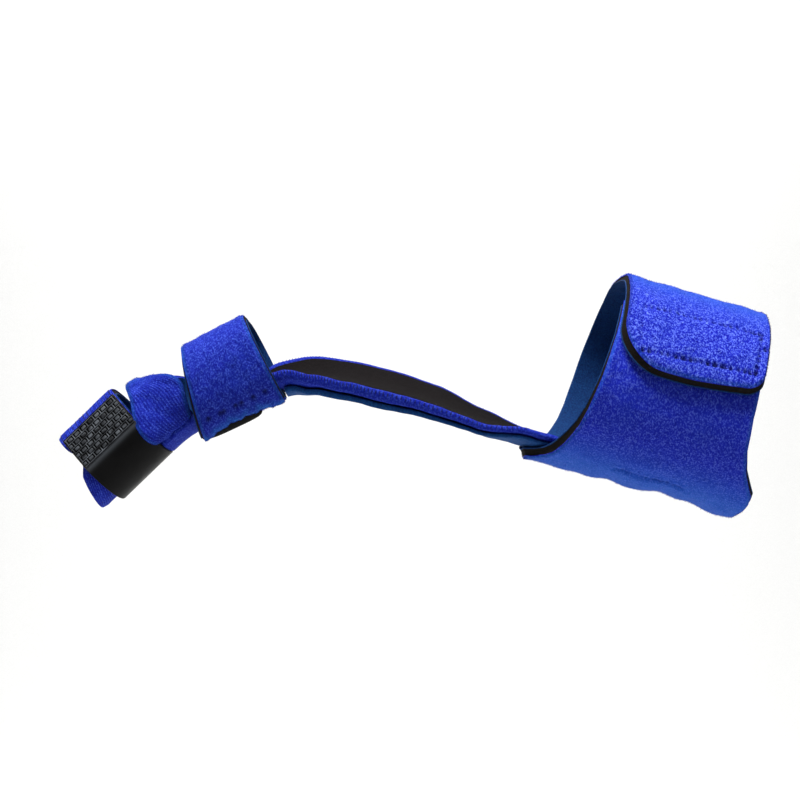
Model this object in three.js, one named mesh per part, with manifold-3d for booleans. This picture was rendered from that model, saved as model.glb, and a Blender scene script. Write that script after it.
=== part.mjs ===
// Finger splint with a wrist cuff: a padded palm strap, two finger straps, a fingertip loop and its guard.
// Millimetres, +Z up, +X towards the elbow. The origin is the middle of the wrist opening.
import * as THREE from "three";
import { mergeVertices } from "three/addons/utils/BufferGeometryUtils.js";
import Module from "manifold-3d";

// Clearance between pieces that lie on each other.
const GAP = 0.3;

// Wrist cuff: one band of laminated foam that laps over itself on the near side.
const FOREARM_SLOPE = 16;
const WRIST_HALF_HEIGHT = 26;
const WRIST_HALF_DEPTH = 29.5;
const CUFF_WALL = 2.5;
const CUFF_TO_HAND = 17.5;
const CUFF_TO_ELBOW = 25.2;
const PALM_LOBE = 15.5;
const ELBOW_LOBE = 8.8;
const FAR_EDGE_REACH = 1.6;
const FAR_EDGE_TURNS = { begin: 215, full: 300, fall: 335, end: 365 };
const CUFF_START_TURN = 34;
const TAB_END_TURN = 443;
const TAB_HAND_CORNER = 13;
const TAB_ELBOW_CORNER = 4.5;
const TAB_END_SLANT = 4;
const LAP_BEGIN_TURN = 235;
const LAP_FULL_TURN = 350;

// Hook patch between the cuff and its tab.
const PATCH_THICKNESS = 1.2;
const PATCH_START_TURN = 398;
const PATCH_END_TURN = 430;
const PATCH_TO_HAND = 13.5;
const PATCH_TO_ELBOW = 22.5;

// Palm strap: black lining, blue sleeve and a darker backing, from the cuff to the fingertip.
const STRAP_WIDTH = 26;
const STRAP_IN_CUFF = 37;
const STRAP_RUN = 104.4;
const STRAP_RISE = 16.8;
const STRAP_ROLL = 16;
const GUTTER_DEPTH = 5;
const LINING_THICKNESS = 0.9;
const SLEEVE_THICKNESS = 2.6;
const BACKING_THICKNESS = 1.3;
const BACKING_INSET = 0.6;
const EDGE_THINNING = 0.35;
const THICKNESS_IN_CUFF = 0.55;
const BACKING_SETBACK = 1;

// Finger straps and their hook tab.
const STRAP_WALL = 2.4;
const RING_SQUARENESS = 2.7;
const PROXIMAL_HALF_HEIGHT = 11.4;
const PROXIMAL_HALF_DEPTH = 11.4;
const PROXIMAL_START_TURN = -204;
const PROXIMAL_END_TURN = 140;
const PROXIMAL_LAP_BEGIN_TURN = -20;
const PROXIMAL_LAP_FULL_TURN = 105;
const HOOK_TAB_THICKNESS = 1.1;
const HOOK_TAB_WIDTH = 16;
const HOOK_TAB_OFFSET = 15;
const HOOK_TAB_CORNER = 6;
const HOOK_TAB_START_TURN = 112;
const HOOK_TAB_END_TURN = 178;
const DISTAL_SEAT_RISE = 0.5;
const DISTAL_HALF_HEIGHT = 8;
const DISTAL_HALF_DEPTH = 9.2;
const DISTAL_SQUARENESS = 2.3;
const DISTAL_START_TURN = -176;
const DISTAL_END_TURN = 176;
const DISTAL_TOP_SHARE = 0.22;
const DISTAL_TOP_TURN = 10;
const DISTAL_FULL_TURN = 88;

// Fingertip loop and guard.
const TIP_SLOPE = 44;
const TIP_HALF_HEIGHT = 9.7;
const TIP_HALF_DEPTH = 8.2;
const TIP_WALL = 2.5;
const TIP_LENGTH = 21.2;
const TIP_LIP = 5;
const TIP_SOFT_FILLET = 7;
const TIP_TOP_FILLET = 2.5;
const TIP_CREASE_FILLET = 1.2;
const GUARD_THICKNESS = 1.7;
const GUARD_SETBACK = 0.1;
const GUARD_LENGTH = 20;
const GUARD_RIM = 0.6;
const RIB_HEIGHT = 0.5;
const RIB_WIDTH = 0.45;
const GUARD_ROWS = 6;
const GUARD_COLUMNS = 7;
const RIB_ROOT = 0.4;

const wasm = await Module();
wasm.setup();

const rad = THREE.MathUtils.degToRad;
const deg = THREE.MathUtils.radToDeg;
const SIDE = new THREE.Vector3(0, -1, 0);

// Value of one column of a table at a place along its key column, with straight steps between the rows.
function tableValue(table, key, column, at) {
  if (at <= table[0][key]) return table[0][column];
  for (let i = 1; i < table.length; i += 1) {
    const before = table[i - 1];
    const after = table[i];
    if (at > after[key]) continue;
    const share = (at - before[key]) / (after[key] - before[key]);
    return THREE.MathUtils.lerp(before[column], after[column], share);
  }
  return table[table.length - 1][column];
}

function solid(positions, triangles) {
  const raw = new THREE.BufferGeometry();
  raw.setAttribute("position", new THREE.Float32BufferAttribute(positions, 3));
  raw.setIndex(triangles);
  return mergeVertices(raw, 1e-4);
}

// Closed wall between two skins given on a grid: outer(i, j) and inner(i, j) are points.
// The grid runs round the piece in i and along it in j. A ring joins its last i to its first.
function wall(countAround, countAlong, outer, inner, ring = false) {
  const positions = [];
  const triangles = [];
  const columns = countAlong + 1;
  const rows = ring ? countAround : countAround + 1;
  const last = countAlong;
  for (const skin of [outer, inner]) {
    for (let i = 0; i < rows; i += 1) {
      for (let j = 0; j < columns; j += 1) positions.push(...skin(i, j).toArray());
    }
  }
  const at = (side, i, j) => (side * rows + (ring ? i % rows : i)) * columns + j;
  const quad = (a, b, c, d) => triangles.push(a, b, c, a, c, d);
  for (let i = 0; i < countAround; i += 1) {
    for (let j = 0; j < countAlong; j += 1) {
      quad(at(0, i, j), at(0, i + 1, j), at(0, i + 1, j + 1), at(0, i, j + 1));
      quad(at(1, i, j), at(1, i, j + 1), at(1, i + 1, j + 1), at(1, i + 1, j));
    }
    quad(at(0, i, 0), at(1, i, 0), at(1, i + 1, 0), at(0, i + 1, 0));
    quad(at(0, i, last), at(0, i + 1, last), at(1, i + 1, last), at(1, i, last));
  }
  if (!ring) {
    const end = countAround;
    for (let j = 0; j < countAlong; j += 1) {
      quad(at(0, 0, j), at(0, 0, j + 1), at(1, 0, j + 1), at(1, 0, j));
      quad(at(0, end, j), at(1, end, j), at(1, end, j + 1), at(0, end, j + 1));
    }
  }
  return facingOut(solid(positions, triangles));
}

// Turns every triangle over if the solid is inside out.
function facingOut(geometry) {
  const spot = geometry.getAttribute("position");
  const index = geometry.getIndex();
  const corner = [new THREE.Vector3(), new THREE.Vector3(), new THREE.Vector3()];
  let volume = 0;
  for (let i = 0; i < index.count; i += 3) {
    corner.forEach((point, k) => point.fromBufferAttribute(spot, index.getX(i + k)));
    volume += corner[0].dot(corner[1].clone().cross(corner[2]));
  }
  if (volume < 0) {
    for (let i = 0; i < index.count; i += 3) {
      const second = index.getX(i + 1);
      index.setX(i + 1, index.getX(i + 2));
      index.setX(i + 2, second);
    }
  }
  return geometry;
}

// Directions of a tube whose axis lies in the X-Z plane and falls towards the fingers by a slope.
function tubeFrame(centre, slope) {
  return {
    centre,
    axis: new THREE.Vector3(Math.cos(rad(slope)), 0, Math.sin(rad(slope))),
    up: new THREE.Vector3(-Math.sin(rad(slope)), 0, Math.cos(rad(slope))),
  };
}

// Point of a squared ellipse and its outward normal, turn 0 at the top and 90 on the near side.
function ovalPoint(turn, halfHeight, halfDepth, squareness) {
  const bend = (value) => Math.sign(value) * Math.abs(value) ** (2 / squareness);
  const place = (t) => new THREE.Vector2(
    halfDepth * bend(Math.sin(rad(t))), halfHeight * bend(Math.cos(rad(t))));
  const tangent = place(turn + 1).sub(place(turn - 1)).normalize();
  return { spot: place(turn), normal: new THREE.Vector2(-tangent.y, tangent.x) };
}

// Band wrapped round an axis. frameAt(along) gives the tube frame and its half sizes, end(across) the
// turn at which the band stops, edges(turn) its two edges and offset(turn) its height over the oval.
function wrappedBand({
  frameAt, start, end, edges, offset, thickness, squareness, steps, columns,
  dent = () => 0, spacing = (share) => share,
}) {
  const skin = (depth) => (i, j) => {
    const across = spacing(j / columns);
    const turn = THREE.MathUtils.lerp(start, end(across), i / steps);
    const [low, high] = edges(turn);
    const along = THREE.MathUtils.lerp(low, high, across);
    const { frame, halfHeight, halfDepth } = frameAt(along);
    const { spot, normal } = ovalPoint(turn, halfHeight, halfDepth, squareness);
    spot.addScaledVector(normal, offset(turn) + depth - dent(turn, along));
    return frame.centre.clone()
      .addScaledVector(SIDE, spot.x)
      .addScaledVector(frame.up, spot.y);
  };
  return wall(steps, columns, skin(thickness), skin(0));
}

// Wrist cuff.

// Reach of the two lobes by the angle away from the bottom, as shares of the lobes' lengths.
const CUFF_LOBES = [
  { away: 0, palm: 1, elbow: 0.93 },
  { away: 12, palm: 1, elbow: 0.94 },
  { away: 18, palm: 0.84, elbow: 0.97 },
  { away: 24, palm: 0.69, elbow: 1 },
  { away: 33, palm: 0.55, elbow: 1 },
  { away: 41, palm: 0.47, elbow: 0.93 },
  { away: 49, palm: 0.38, elbow: 0.68 },
  { away: 58, palm: 0.29, elbow: 0.4 },
  { away: 70, palm: 0.21, elbow: 0.18 },
  { away: 90, palm: 0.12, elbow: 0.03 },
  { away: 118, palm: 0.04, elbow: 0 },
  { away: 145, palm: 0, elbow: 0 },
];

// Soft dents of the cuff where it is loose under the wrist: depth inwards in shares of the wall.
const CUFF_DENTS = [
  { turn: 180, along: 11, depth: 0.6, turnSpread: 26, alongSpread: 5 },
  { turn: 180, along: 20, depth: 0.34, turnSpread: 24, alongSpread: 3.5 },
  { turn: 180, along: -5.5, depth: 0.3, turnSpread: 20, alongSpread: 3.5 },
  { turn: 176, along: 28.5, depth: -0.22, turnSpread: 22, alongSpread: 4 },
  { turn: 148, along: 4, depth: 0.22, turnSpread: 5, alongSpread: 9 },
  { turn: 137, along: 2, depth: -0.2, turnSpread: 6, alongSpread: 9 },
  { turn: 270, along: 3, depth: -0.3, turnSpread: 30, alongSpread: 14 },
  { turn: 110, along: 6, depth: -0.16, turnSpread: 20, alongSpread: 12 },
];

function cuffDent(turn, along) {
  let depth = 0;
  for (const row of CUFF_DENTS) {
    const around = (turn - row.turn) / row.turnSpread;
    const sideways = (along - row.along) / row.alongSpread;
    depth += row.depth * CUFF_WALL * Math.exp(-around * around - sideways * sideways);
  }
  return depth;
}

const CUFF_LAP = CUFF_WALL + PATCH_THICKNESS + 2 * GAP;

function cuffLift(turn) {
  return CUFF_LAP * THREE.MathUtils.smoothstep(turn, LAP_BEGIN_TURN, LAP_FULL_TURN);
}

function cuffEdges(turn) {
  const away = Math.abs(turn - 180);
  const { begin, full, fall, end } = FAR_EDGE_TURNS;
  const far = THREE.MathUtils.smoothstep(turn, begin, full)
    * (1 - THREE.MathUtils.smoothstep(turn, fall, end));
  return [
    -CUFF_TO_HAND - PALM_LOBE * tableValue(CUFF_LOBES, "away", "palm", away) - FAR_EDGE_REACH * far,
    CUFF_TO_ELBOW + ELBOW_LOBE * tableValue(CUFF_LOBES, "away", "elbow", away),
  ];
}

const FOREARM = tubeFrame(new THREE.Vector3(), -FOREARM_SLOPE);

// Along is measured from the middle of the opening towards the elbow.
function cuffFrame(along) {
  return {
    frame: { ...FOREARM, centre: FOREARM.axis.clone().multiplyScalar(along) },
    halfHeight: WRIST_HALF_HEIGHT,
    halfDepth: WRIST_HALF_DEPTH,
  };
}

// Drop of a rounded corner at a distance from the side that it rounds.
function cornerDrop(radius, distance) {
  if (distance >= radius) return 0;
  return radius - Math.sqrt(radius * radius - (radius - distance) ** 2);
}

const CUFF_RADIUS = (WRIST_HALF_HEIGHT + WRIST_HALF_DEPTH) / 2 + CUFF_WALL + CUFF_LAP;
const turnOfArc = (length, radius) => deg(length / radius);

// Columns of the cuff are closer together at its two edges, where the tab's corners are round.
function easedShare(share) {
  const crowding = 0.75;
  return THREE.MathUtils.lerp(share, (1 - Math.cos(Math.PI * share)) / 2, crowding);
}

function tabEnd(across) {
  const width = CUFF_TO_HAND + CUFF_TO_ELBOW;
  const fromHand = across * width;
  const fromElbow = width - fromHand;
  const slant = TAB_END_SLANT * (fromHand / width) ** 2;
  const drop = slant + cornerDrop(TAB_HAND_CORNER, fromHand) + cornerDrop(TAB_ELBOW_CORNER, fromElbow);
  return TAB_END_TURN - turnOfArc(drop, CUFF_RADIUS);
}

function wristCuff() {
  return wrappedBand({
    frameAt: cuffFrame,
    start: CUFF_START_TURN,
    end: tabEnd,
    edges: cuffEdges,
    offset: cuffLift,
    thickness: CUFF_WALL,
    squareness: 2,
    dent: cuffDent,
    steps: 54,
    columns: 11,
    spacing: easedShare,
  });
}

function cuffHookPatch() {
  return wrappedBand({
    frameAt: cuffFrame,
    start: PATCH_START_TURN,
    end: () => PATCH_END_TURN,
    edges: () => [-PATCH_TO_HAND, PATCH_TO_ELBOW],
    offset: () => CUFF_WALL + GAP,
    thickness: PATCH_THICKNESS,
    squareness: 2,
    dent: (turn, along) => cuffDent(turn - 360, along),
    steps: 10,
    columns: 4,
  });
}

// Palm strap. Its route is the middle of the sleeve's underside, from inside the cuff to the fingertip.

const STRAP_FLOOR = -WRIST_HALF_HEIGHT + GAP + BACKING_THICKNESS + GAP;
const MOUTH_ALONG = -CUFF_TO_HAND - PALM_LOBE;

function floorPoint(along) {
  const { frame } = cuffFrame(along);
  const lift = Math.max(0, cuffDent(180, along));
  return frame.centre.clone().addScaledVector(frame.up, STRAP_FLOOR + lift);
}

const MOUTH = floorPoint(MOUTH_ALONG);
const CUFF_SAG = WRIST_HALF_HEIGHT
  * (1 - Math.sqrt(1 - (STRAP_WIDTH / 2 / WRIST_HALF_DEPTH) ** 2)) + GAP / 2;

// Stations from the cuff's mouth to the fingertip: run and rise are shares of STRAP_RUN and STRAP_RISE,
// sag of GUTTER_DEPTH, roll of STRAP_ROLL, width of STRAP_WIDTH and thick of each layer's thickness.
const STRAP_STATIONS = [
  { run: 0.135, rise: 0.29, sag: 0.36, roll: 0.65, width: 1, thick: 0.62 },
  { run: 0.265, rise: 0.62, sag: 0.32, roll: 0.9, width: 1, thick: 0.82 },
  { run: 0.4, rise: 0.84, sag: 0.32, roll: 1, width: 1, thick: 1 },
  { run: 0.51, rise: 0.965, sag: 0.45, roll: 1, width: 0.98, thick: 1 },
  { run: 0.6, rise: 1, sag: 0.68, roll: 0.95, width: 0.9, thick: 1 },
  { run: 0.675, rise: 0.945, sag: 0.9, roll: 0.6, width: 0.76, thick: 0.95 },
  { run: 0.78, rise: 0.69, sag: 0.75, roll: 0.1, width: 0.68, thick: 0.75 },
  { run: 0.88, rise: 0.37, sag: 0.6, roll: 0, width: 0.67, thick: 0.68 },
  { run: 0.96, rise: 0.06, sag: 0.5, roll: 0, width: 0.66, thick: 0.66 },
  { run: 1, rise: -0.15, sag: 0.45, roll: 0, width: 0.66, thick: 0.66 },
];

function strapStations() {
  const inCuff = 5;
  const rows = [];
  for (let i = 0; i <= inCuff; i += 1) {
    const along = MOUTH_ALONG + STRAP_IN_CUFF * (1 - i / inCuff);
    const sag = CUFF_SAG / GUTTER_DEPTH;
    rows.push({ point: floorPoint(along), sag, roll: 0, width: 1, thick: THICKNESS_IN_CUFF });
  }
  for (const row of STRAP_STATIONS) {
    const point = MOUTH.clone();
    point.x -= row.run * STRAP_RUN;
    point.z += row.rise * STRAP_RISE;
    rows.push({ ...row, point });
  }
  return rows;
}

const STATIONS = strapStations();
const ROUTE = new THREE.CatmullRomCurve3(STATIONS.map((row) => row.point), false, "centripetal");
const ROUTE_STEPS = STATIONS.length - 1;

// Place on the route: 0 is the end inside the cuff and 1 is the end at the fingertip.
function strapAt(share) {
  const place = share * ROUTE_STEPS;
  const first = Math.min(Math.floor(place), ROUTE_STEPS - 1);
  const blend = THREE.MathUtils.smoothstep(place - first, 0, 1);
  const value = (column) => THREE.MathUtils.lerp(
    STATIONS[first][column], STATIONS[first + 1][column], blend);
  const tangent = ROUTE.getTangent(share);
  const slope = deg(Math.atan2(-tangent.z, -tangent.x));
  return {
    ...tubeFrame(ROUTE.getPoint(share), slope),
    slope,
    sag: value("sag") * GUTTER_DEPTH,
    roll: value("roll") * STRAP_ROLL,
    width: value("width") * STRAP_WIDTH,
    thick: value("thick"),
  };
}

// One layer of the strap. below(thick) is the height of its underside over the route.
function strapLayer({ from, to, below, thickness, inset, steps }) {
  const columns = 6;
  const skin = (top) => (i, j) => {
    const place = strapAt(THREE.MathUtils.lerp(from, to, i / steps));
    const across = 2 * (j / columns) - 1;
    const half = place.width / 2 - inset;
    const side = across * half;
    const curve = place.sag * (side / (place.width / 2)) ** 2;
    const bulk = thickness * place.thick * (1 - EDGE_THINNING * across ** 4);
    const height = below(place.thick) + (top ? bulk : 0);
    const lean = rad(place.roll);
    const lateral = side * Math.cos(lean) + (curve + height) * Math.sin(lean);
    const upward = (curve + height) * Math.cos(lean) - side * Math.sin(lean);
    return place.centre.clone().addScaledVector(SIDE, lateral).addScaledVector(place.up, upward);
  };
  return wall(steps, columns, skin(true), skin(false));
}

// Share of the route at which it has gone a given share of the run past the cuff's mouth.
function shareAtRun(run) {
  const goal = MOUTH.x - run * STRAP_RUN;
  let low = 0;
  let high = 1;
  for (let i = 0; i < 40; i += 1) {
    const middle = (low + high) / 2;
    if (ROUTE.getPoint(middle).x > goal) low = middle;
    else high = middle;
  }
  return (low + high) / 2;
}

// Where the finger straps sit on the route, as shares of STRAP_RUN, with the slope of each edge.
const PROXIMAL_EDGES = { hand: { run: 0.686, slope: 27 }, tip: { run: 0.917, slope: 13 } };
const DISTAL_EDGES = { hand: { run: 0.93, slope: 14 }, tip: { run: 1.0, slope: 36 } };

function palmSleeve() {
  return strapLayer({
    from: 0, to: 1, below: () => 0, thickness: SLEEVE_THICKNESS, inset: 0, steps: 34,
  });
}

function palmLining() {
  return strapLayer({
    from: 0,
    to: 1,
    below: (thick) => SLEEVE_THICKNESS * thick + GAP,
    thickness: LINING_THICKNESS,
    inset: 0,
    steps: 34,
  });
}

function palmBacking() {
  return strapLayer({
    from: 0,
    to: shareAtRun(PROXIMAL_EDGES.hand.run - BACKING_SETBACK / STRAP_RUN),
    below: (thick) => -GAP - BACKING_THICKNESS * thick,
    thickness: BACKING_THICKNESS,
    inset: BACKING_INSET,
    steps: 30,
  });
}

// Finger straps. A ring's edge frame stands on the route and leans by the edge's own slope.
function ringEdge({ run, slope }, height) {
  const foot = strapAt(shareAtRun(run)).centre;
  const frame = tubeFrame(foot, slope);
  frame.centre = foot.clone().addScaledVector(frame.up, height);
  return { ...frame, slope };
}

// Frame between a ring's two edges. Along runs from 0 at the tip's edge to 1 at the hand's edge.
function ringFrame(edges, height, halfHeight, halfDepth) {
  const tip = ringEdge(edges.tip, height);
  const hand = ringEdge(edges.hand, height);
  return (along) => {
    const centre = tip.centre.clone().lerp(hand.centre, along);
    const slope = THREE.MathUtils.lerp(tip.slope, hand.slope, along);
    return { frame: tubeFrame(centre, slope), halfHeight, halfDepth };
  };
}

const PROXIMAL_FRAME = ringFrame(
  PROXIMAL_EDGES, PROXIMAL_HALF_HEIGHT - GAP, PROXIMAL_HALF_HEIGHT, PROXIMAL_HALF_DEPTH);
const PROXIMAL_LAP = STRAP_WALL + HOOK_TAB_THICKNESS + 2 * GAP;
const PROXIMAL_WIDTH = PROXIMAL_FRAME(0).frame.centre.distanceTo(PROXIMAL_FRAME(1).frame.centre);

function proximalLift(turn) {
  return PROXIMAL_LAP
    * THREE.MathUtils.smoothstep(turn, PROXIMAL_LAP_BEGIN_TURN, PROXIMAL_LAP_FULL_TURN);
}

function proximalFingerStrap() {
  return wrappedBand({
    frameAt: PROXIMAL_FRAME,
    start: PROXIMAL_START_TURN,
    end: () => PROXIMAL_END_TURN,
    edges: () => [0, 1],
    offset: proximalLift,
    thickness: STRAP_WALL,
    squareness: RING_SQUARENESS,
    steps: 46,
    columns: 4,
  });
}

function proximalHookTab() {
  const middle = PROXIMAL_WIDTH - HOOK_TAB_OFFSET;
  const low = (middle - HOOK_TAB_WIDTH / 2) / PROXIMAL_WIDTH;
  const high = (middle + HOOK_TAB_WIDTH / 2) / PROXIMAL_WIDTH;
  const radius = PROXIMAL_HALF_HEIGHT + STRAP_WALL;
  return wrappedBand({
    frameAt: PROXIMAL_FRAME,
    start: HOOK_TAB_START_TURN,
    end: (across) => {
      const fromTip = across * HOOK_TAB_WIDTH;
      const drop = cornerDrop(HOOK_TAB_CORNER, fromTip)
        + cornerDrop(HOOK_TAB_CORNER, HOOK_TAB_WIDTH - fromTip);
      return HOOK_TAB_END_TURN - turnOfArc(drop, radius);
    },
    edges: () => [low, high],
    offset: () => STRAP_WALL + GAP,
    thickness: HOOK_TAB_THICKNESS,
    squareness: RING_SQUARENESS,
    steps: 8,
    columns: 8,
  });
}

const FINGER_LAYERS = (SLEEVE_THICKNESS + LINING_THICKNESS) * strapAt(1).thick;
const DISTAL_SEAT = FINGER_LAYERS + 3 * GAP + DISTAL_SEAT_RISE;
const DISTAL_FRAME = ringFrame(
  DISTAL_EDGES, DISTAL_SEAT + STRAP_WALL + DISTAL_HALF_HEIGHT, DISTAL_HALF_HEIGHT, DISTAL_HALF_DEPTH);

function distalFingerStrap() {
  return wrappedBand({
    frameAt: DISTAL_FRAME,
    start: DISTAL_START_TURN,
    end: () => DISTAL_END_TURN,
    edges: (turn) => {
      const grown = THREE.MathUtils.smoothstep(Math.abs(turn), DISTAL_TOP_TURN, DISTAL_FULL_TURN);
      return [0, THREE.MathUtils.lerp(DISTAL_TOP_SHARE, 1, grown)];
    },
    offset: () => 0,
    thickness: STRAP_WALL,
    squareness: DISTAL_SQUARENESS,
    steps: 42,
    columns: 5,
  });
}

// Fingertip loop and guard.

// Corners of the fingertip's section, seen from the hand: side is a share of TIP_HALF_DEPTH and up of
// TIP_HALF_HEIGHT. The straight stretch between the second and third corners carries the grip pattern.
const TIP_CORNERS = [
  { side: -1, up: 1, fillet: TIP_SOFT_FILLET, sharp: false },
  { side: 0.5, up: 1, fillet: TIP_TOP_FILLET, sharp: false },
  { side: 1.08, up: -0.24, fillet: TIP_CREASE_FILLET, sharp: true },
  { side: 1, up: -1, fillet: TIP_SOFT_FILLET, sharp: false },
  { side: -1, up: -1, fillet: TIP_SOFT_FILLET, sharp: false },
];
const FILLET_STEPS = 6;

// Section moved outwards by an offset. A sharp corner keeps its own fillet, the others grow with it.
function tipSection(offset) {
  const corners = TIP_CORNERS.map((row) => new THREE.Vector2(
    row.side * TIP_HALF_DEPTH, row.up * TIP_HALF_HEIGHT));
  const count = corners.length;
  const moved = corners.map((corner, i) => {
    const before = corner.clone().sub(corners[(i + count - 1) % count]).normalize();
    const after = corners[(i + 1) % count].clone().sub(corner).normalize();
    const first = new THREE.Vector2(-before.y, before.x);
    const second = new THREE.Vector2(-after.y, after.x);
    const middle = first.clone().add(second).normalize();
    return corner.clone().addScaledVector(middle, offset / middle.dot(first));
  });
  const points = [];
  moved.forEach((corner, i) => {
    const before = moved[(i + count - 1) % count].clone().sub(corner).normalize();
    const after = moved[(i + 1) % count].clone().sub(corner).normalize();
    const half = Math.acos(before.dot(after)) / 2;
    const radius = TIP_CORNERS[i].fillet + (TIP_CORNERS[i].sharp ? 0 : offset);
    const back = radius / Math.tan(half);
    const middle = before.clone().add(after).normalize();
    const hub = corner.clone().addScaledVector(middle, radius / Math.sin(half));
    const from = corner.clone().addScaledVector(before, back).sub(hub);
    const to = corner.clone().addScaledVector(after, back).sub(hub);
    let sweep = to.angle() - from.angle();
    if (sweep > Math.PI) sweep -= 2 * Math.PI;
    if (sweep < -Math.PI) sweep += 2 * Math.PI;
    for (let k = 0; k <= FILLET_STEPS; k += 1) {
      const turned = from.clone().rotateAround(new THREE.Vector2(), sweep * k / FILLET_STEPS);
      points.push(hub.clone().add(turned));
    }
  });
  return points;
}

// The guard's underside touches down at the end of the route, two gaps past the strap.
function tipFrame() {
  const frame = tubeFrame(strapAt(1).centre, TIP_SLOPE);
  const height = GUARD_THICKNESS + GAP + TIP_WALL + TIP_HALF_HEIGHT;
  frame.centre.addScaledVector(frame.up, height).addScaledVector(frame.axis, -2 * GAP);
  return frame;
}

const TIP_FRAME = tipFrame();

// Distance is measured from the loop's hand end towards the fingertip.
function tipPoint(spot, distance) {
  return TIP_FRAME.centre.clone()
    .addScaledVector(SIDE, spot.x)
    .addScaledVector(TIP_FRAME.up, spot.y)
    .addScaledVector(TIP_FRAME.axis, -distance);
}

function tipLoop() {
  const inner = tipSection(0);
  const outer = tipSection(TIP_WALL);
  const rows = 3;
  const length = (spot) => {
    const share = THREE.MathUtils.clamp(0.5 - spot.y / TIP_HALF_HEIGHT / 2, 0, 1);
    return TIP_LENGTH + TIP_LIP * share * share;
  };
  const skin = (points) => (i, j) => tipPoint(points[i], length(inner[i]) * j / rows);
  return wall(inner.length, rows, skin(outer), skin(inner), true);
}

// The guard follows the section from the end of the second corner to the start of the fifth.
function tipGuard() {
  const inner = tipSection(TIP_WALL + GAP);
  const outer = tipSection(TIP_WALL + GAP + GUARD_THICKNESS);
  const perCorner = FILLET_STEPS + 1;
  const first = 2 * perCorner - 1;
  const last = 4 * perCorner;
  const skin = (points) => (i, j) => tipPoint(points[first + i], GUARD_SETBACK + GUARD_LENGTH * j);
  const shell = wall(last - first, 1, skin(outer), skin(inner));
  return fromManifold(withGrip(shell, outer[first], outer[first + 1]));
}

// Straight rib standing on the plate: from and to are places on the plate (across, along).
function rib(plate, from, to) {
  const run = to.clone().sub(from);
  const box = new THREE.BoxGeometry(run.length() + RIB_WIDTH, RIB_WIDTH, RIB_HEIGHT + RIB_ROOT);
  box.deleteAttribute("normal");
  box.deleteAttribute("uv");
  const middle = from.clone().add(to).multiplyScalar(0.5);
  const spot = plate.edge.clone().addScaledVector(plate.across, middle.x);
  const centre = tipPoint(spot, GUARD_SETBACK + middle.y)
    .addScaledVector(plate.outward, (RIB_HEIGHT - RIB_ROOT) / 2);
  const along = plate.acrossDirection.clone().multiplyScalar(run.x)
    .addScaledVector(TIP_FRAME.axis, -run.y).normalize();
  const sideways = plate.outward.clone().cross(along);
  const place = new THREE.Matrix4().makeBasis(along, sideways, plate.outward).setPosition(centre);
  return mergeVertices(box.applyMatrix4(place), 1e-5);
}

// Joins a grip pattern of ribs in brick bond to the guard's flat near face.
function withGrip(shell, edge, crease) {
  const across = crease.clone().sub(edge).normalize();
  const width = edge.distanceTo(crease);
  const acrossDirection = SIDE.clone().multiplyScalar(across.x).addScaledVector(TIP_FRAME.up, across.y);
  const outward = acrossDirection.clone().cross(TIP_FRAME.axis).negate();
  const plate = { edge, across, acrossDirection, outward };
  const rowPitch = (width - 2 * GUARD_RIM) / GUARD_ROWS;
  const columnPitch = (GUARD_LENGTH - 2 * GUARD_RIM) / GUARD_COLUMNS;
  const at = (row, column) => new THREE.Vector2(
    GUARD_RIM + row * rowPitch, GUARD_RIM + column * columnPitch);
  const ribs = [];
  for (let row = 0; row <= GUARD_ROWS; row += 1) {
    ribs.push(rib(plate, at(row, 0), at(row, GUARD_COLUMNS)));
  }
  for (let row = 0; row < GUARD_ROWS; row += 1) {
    const shift = row % 2 ? 0.5 : 0;
    for (let column = shift; column <= GUARD_COLUMNS; column += 1) {
      ribs.push(rib(plate, at(row, column), at(row + 1, column)));
    }
  }
  return ribs.reduce((sum, piece) => sum.add(toManifold(piece)), toManifold(shell));
}

function toManifold(geometry) {
  return new wasm.Manifold(new wasm.Mesh({
    numProp: 3,
    vertProperties: Float32Array.from(geometry.getAttribute("position").array),
    triVerts: Uint32Array.from(geometry.getIndex().array),
  }));
}

function fromManifold(piece) {
  const mesh = piece.getMesh();
  return solid(Array.from(mesh.vertProperties), Array.from(mesh.triVerts));
}

const FINISHES = {
  blue_fabric: { color: 0x2430c0, roughness: 0.95 },
  blue_backing: { color: 0x16407a, roughness: 0.95 },
  black_lining: { color: 0x18181a, roughness: 0.9 },
  black_hook: { color: 0x141416, roughness: 0.8 },
  black_plastic: { color: 0x1b1b1d, roughness: 0.4 },
};

const PIECES = [
  ["wrist_cuff", wristCuff, "blue_fabric"],
  ["cuff_hook_patch", cuffHookPatch, "black_hook"],
  ["palm_sleeve", palmSleeve, "blue_fabric"],
  ["palm_lining", palmLining, "black_lining"],
  ["palm_backing", palmBacking, "blue_backing"],
  ["proximal_finger_strap", proximalFingerStrap, "blue_fabric"],
  ["proximal_hook_tab", proximalHookTab, "black_hook"],
  ["distal_finger_strap", distalFingerStrap, "blue_fabric"],
  ["tip_loop", tipLoop, "blue_fabric"],
  ["tip_guard", tipGuard, "black_plastic"],
];

const splint = new THREE.Group();
for (const [name, make, finish] of PIECES) {
  const mesh = new THREE.Mesh(make(), new THREE.MeshStandardMaterial({ ...FINISHES[finish], metalness: 0 }));
  mesh.name = name;
  splint.add(mesh);
}

export default splint;
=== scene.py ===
"""Finger splint with a wrist cuff: fabric, foam, stitching and moulded guard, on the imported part's frame."""

import math

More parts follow.
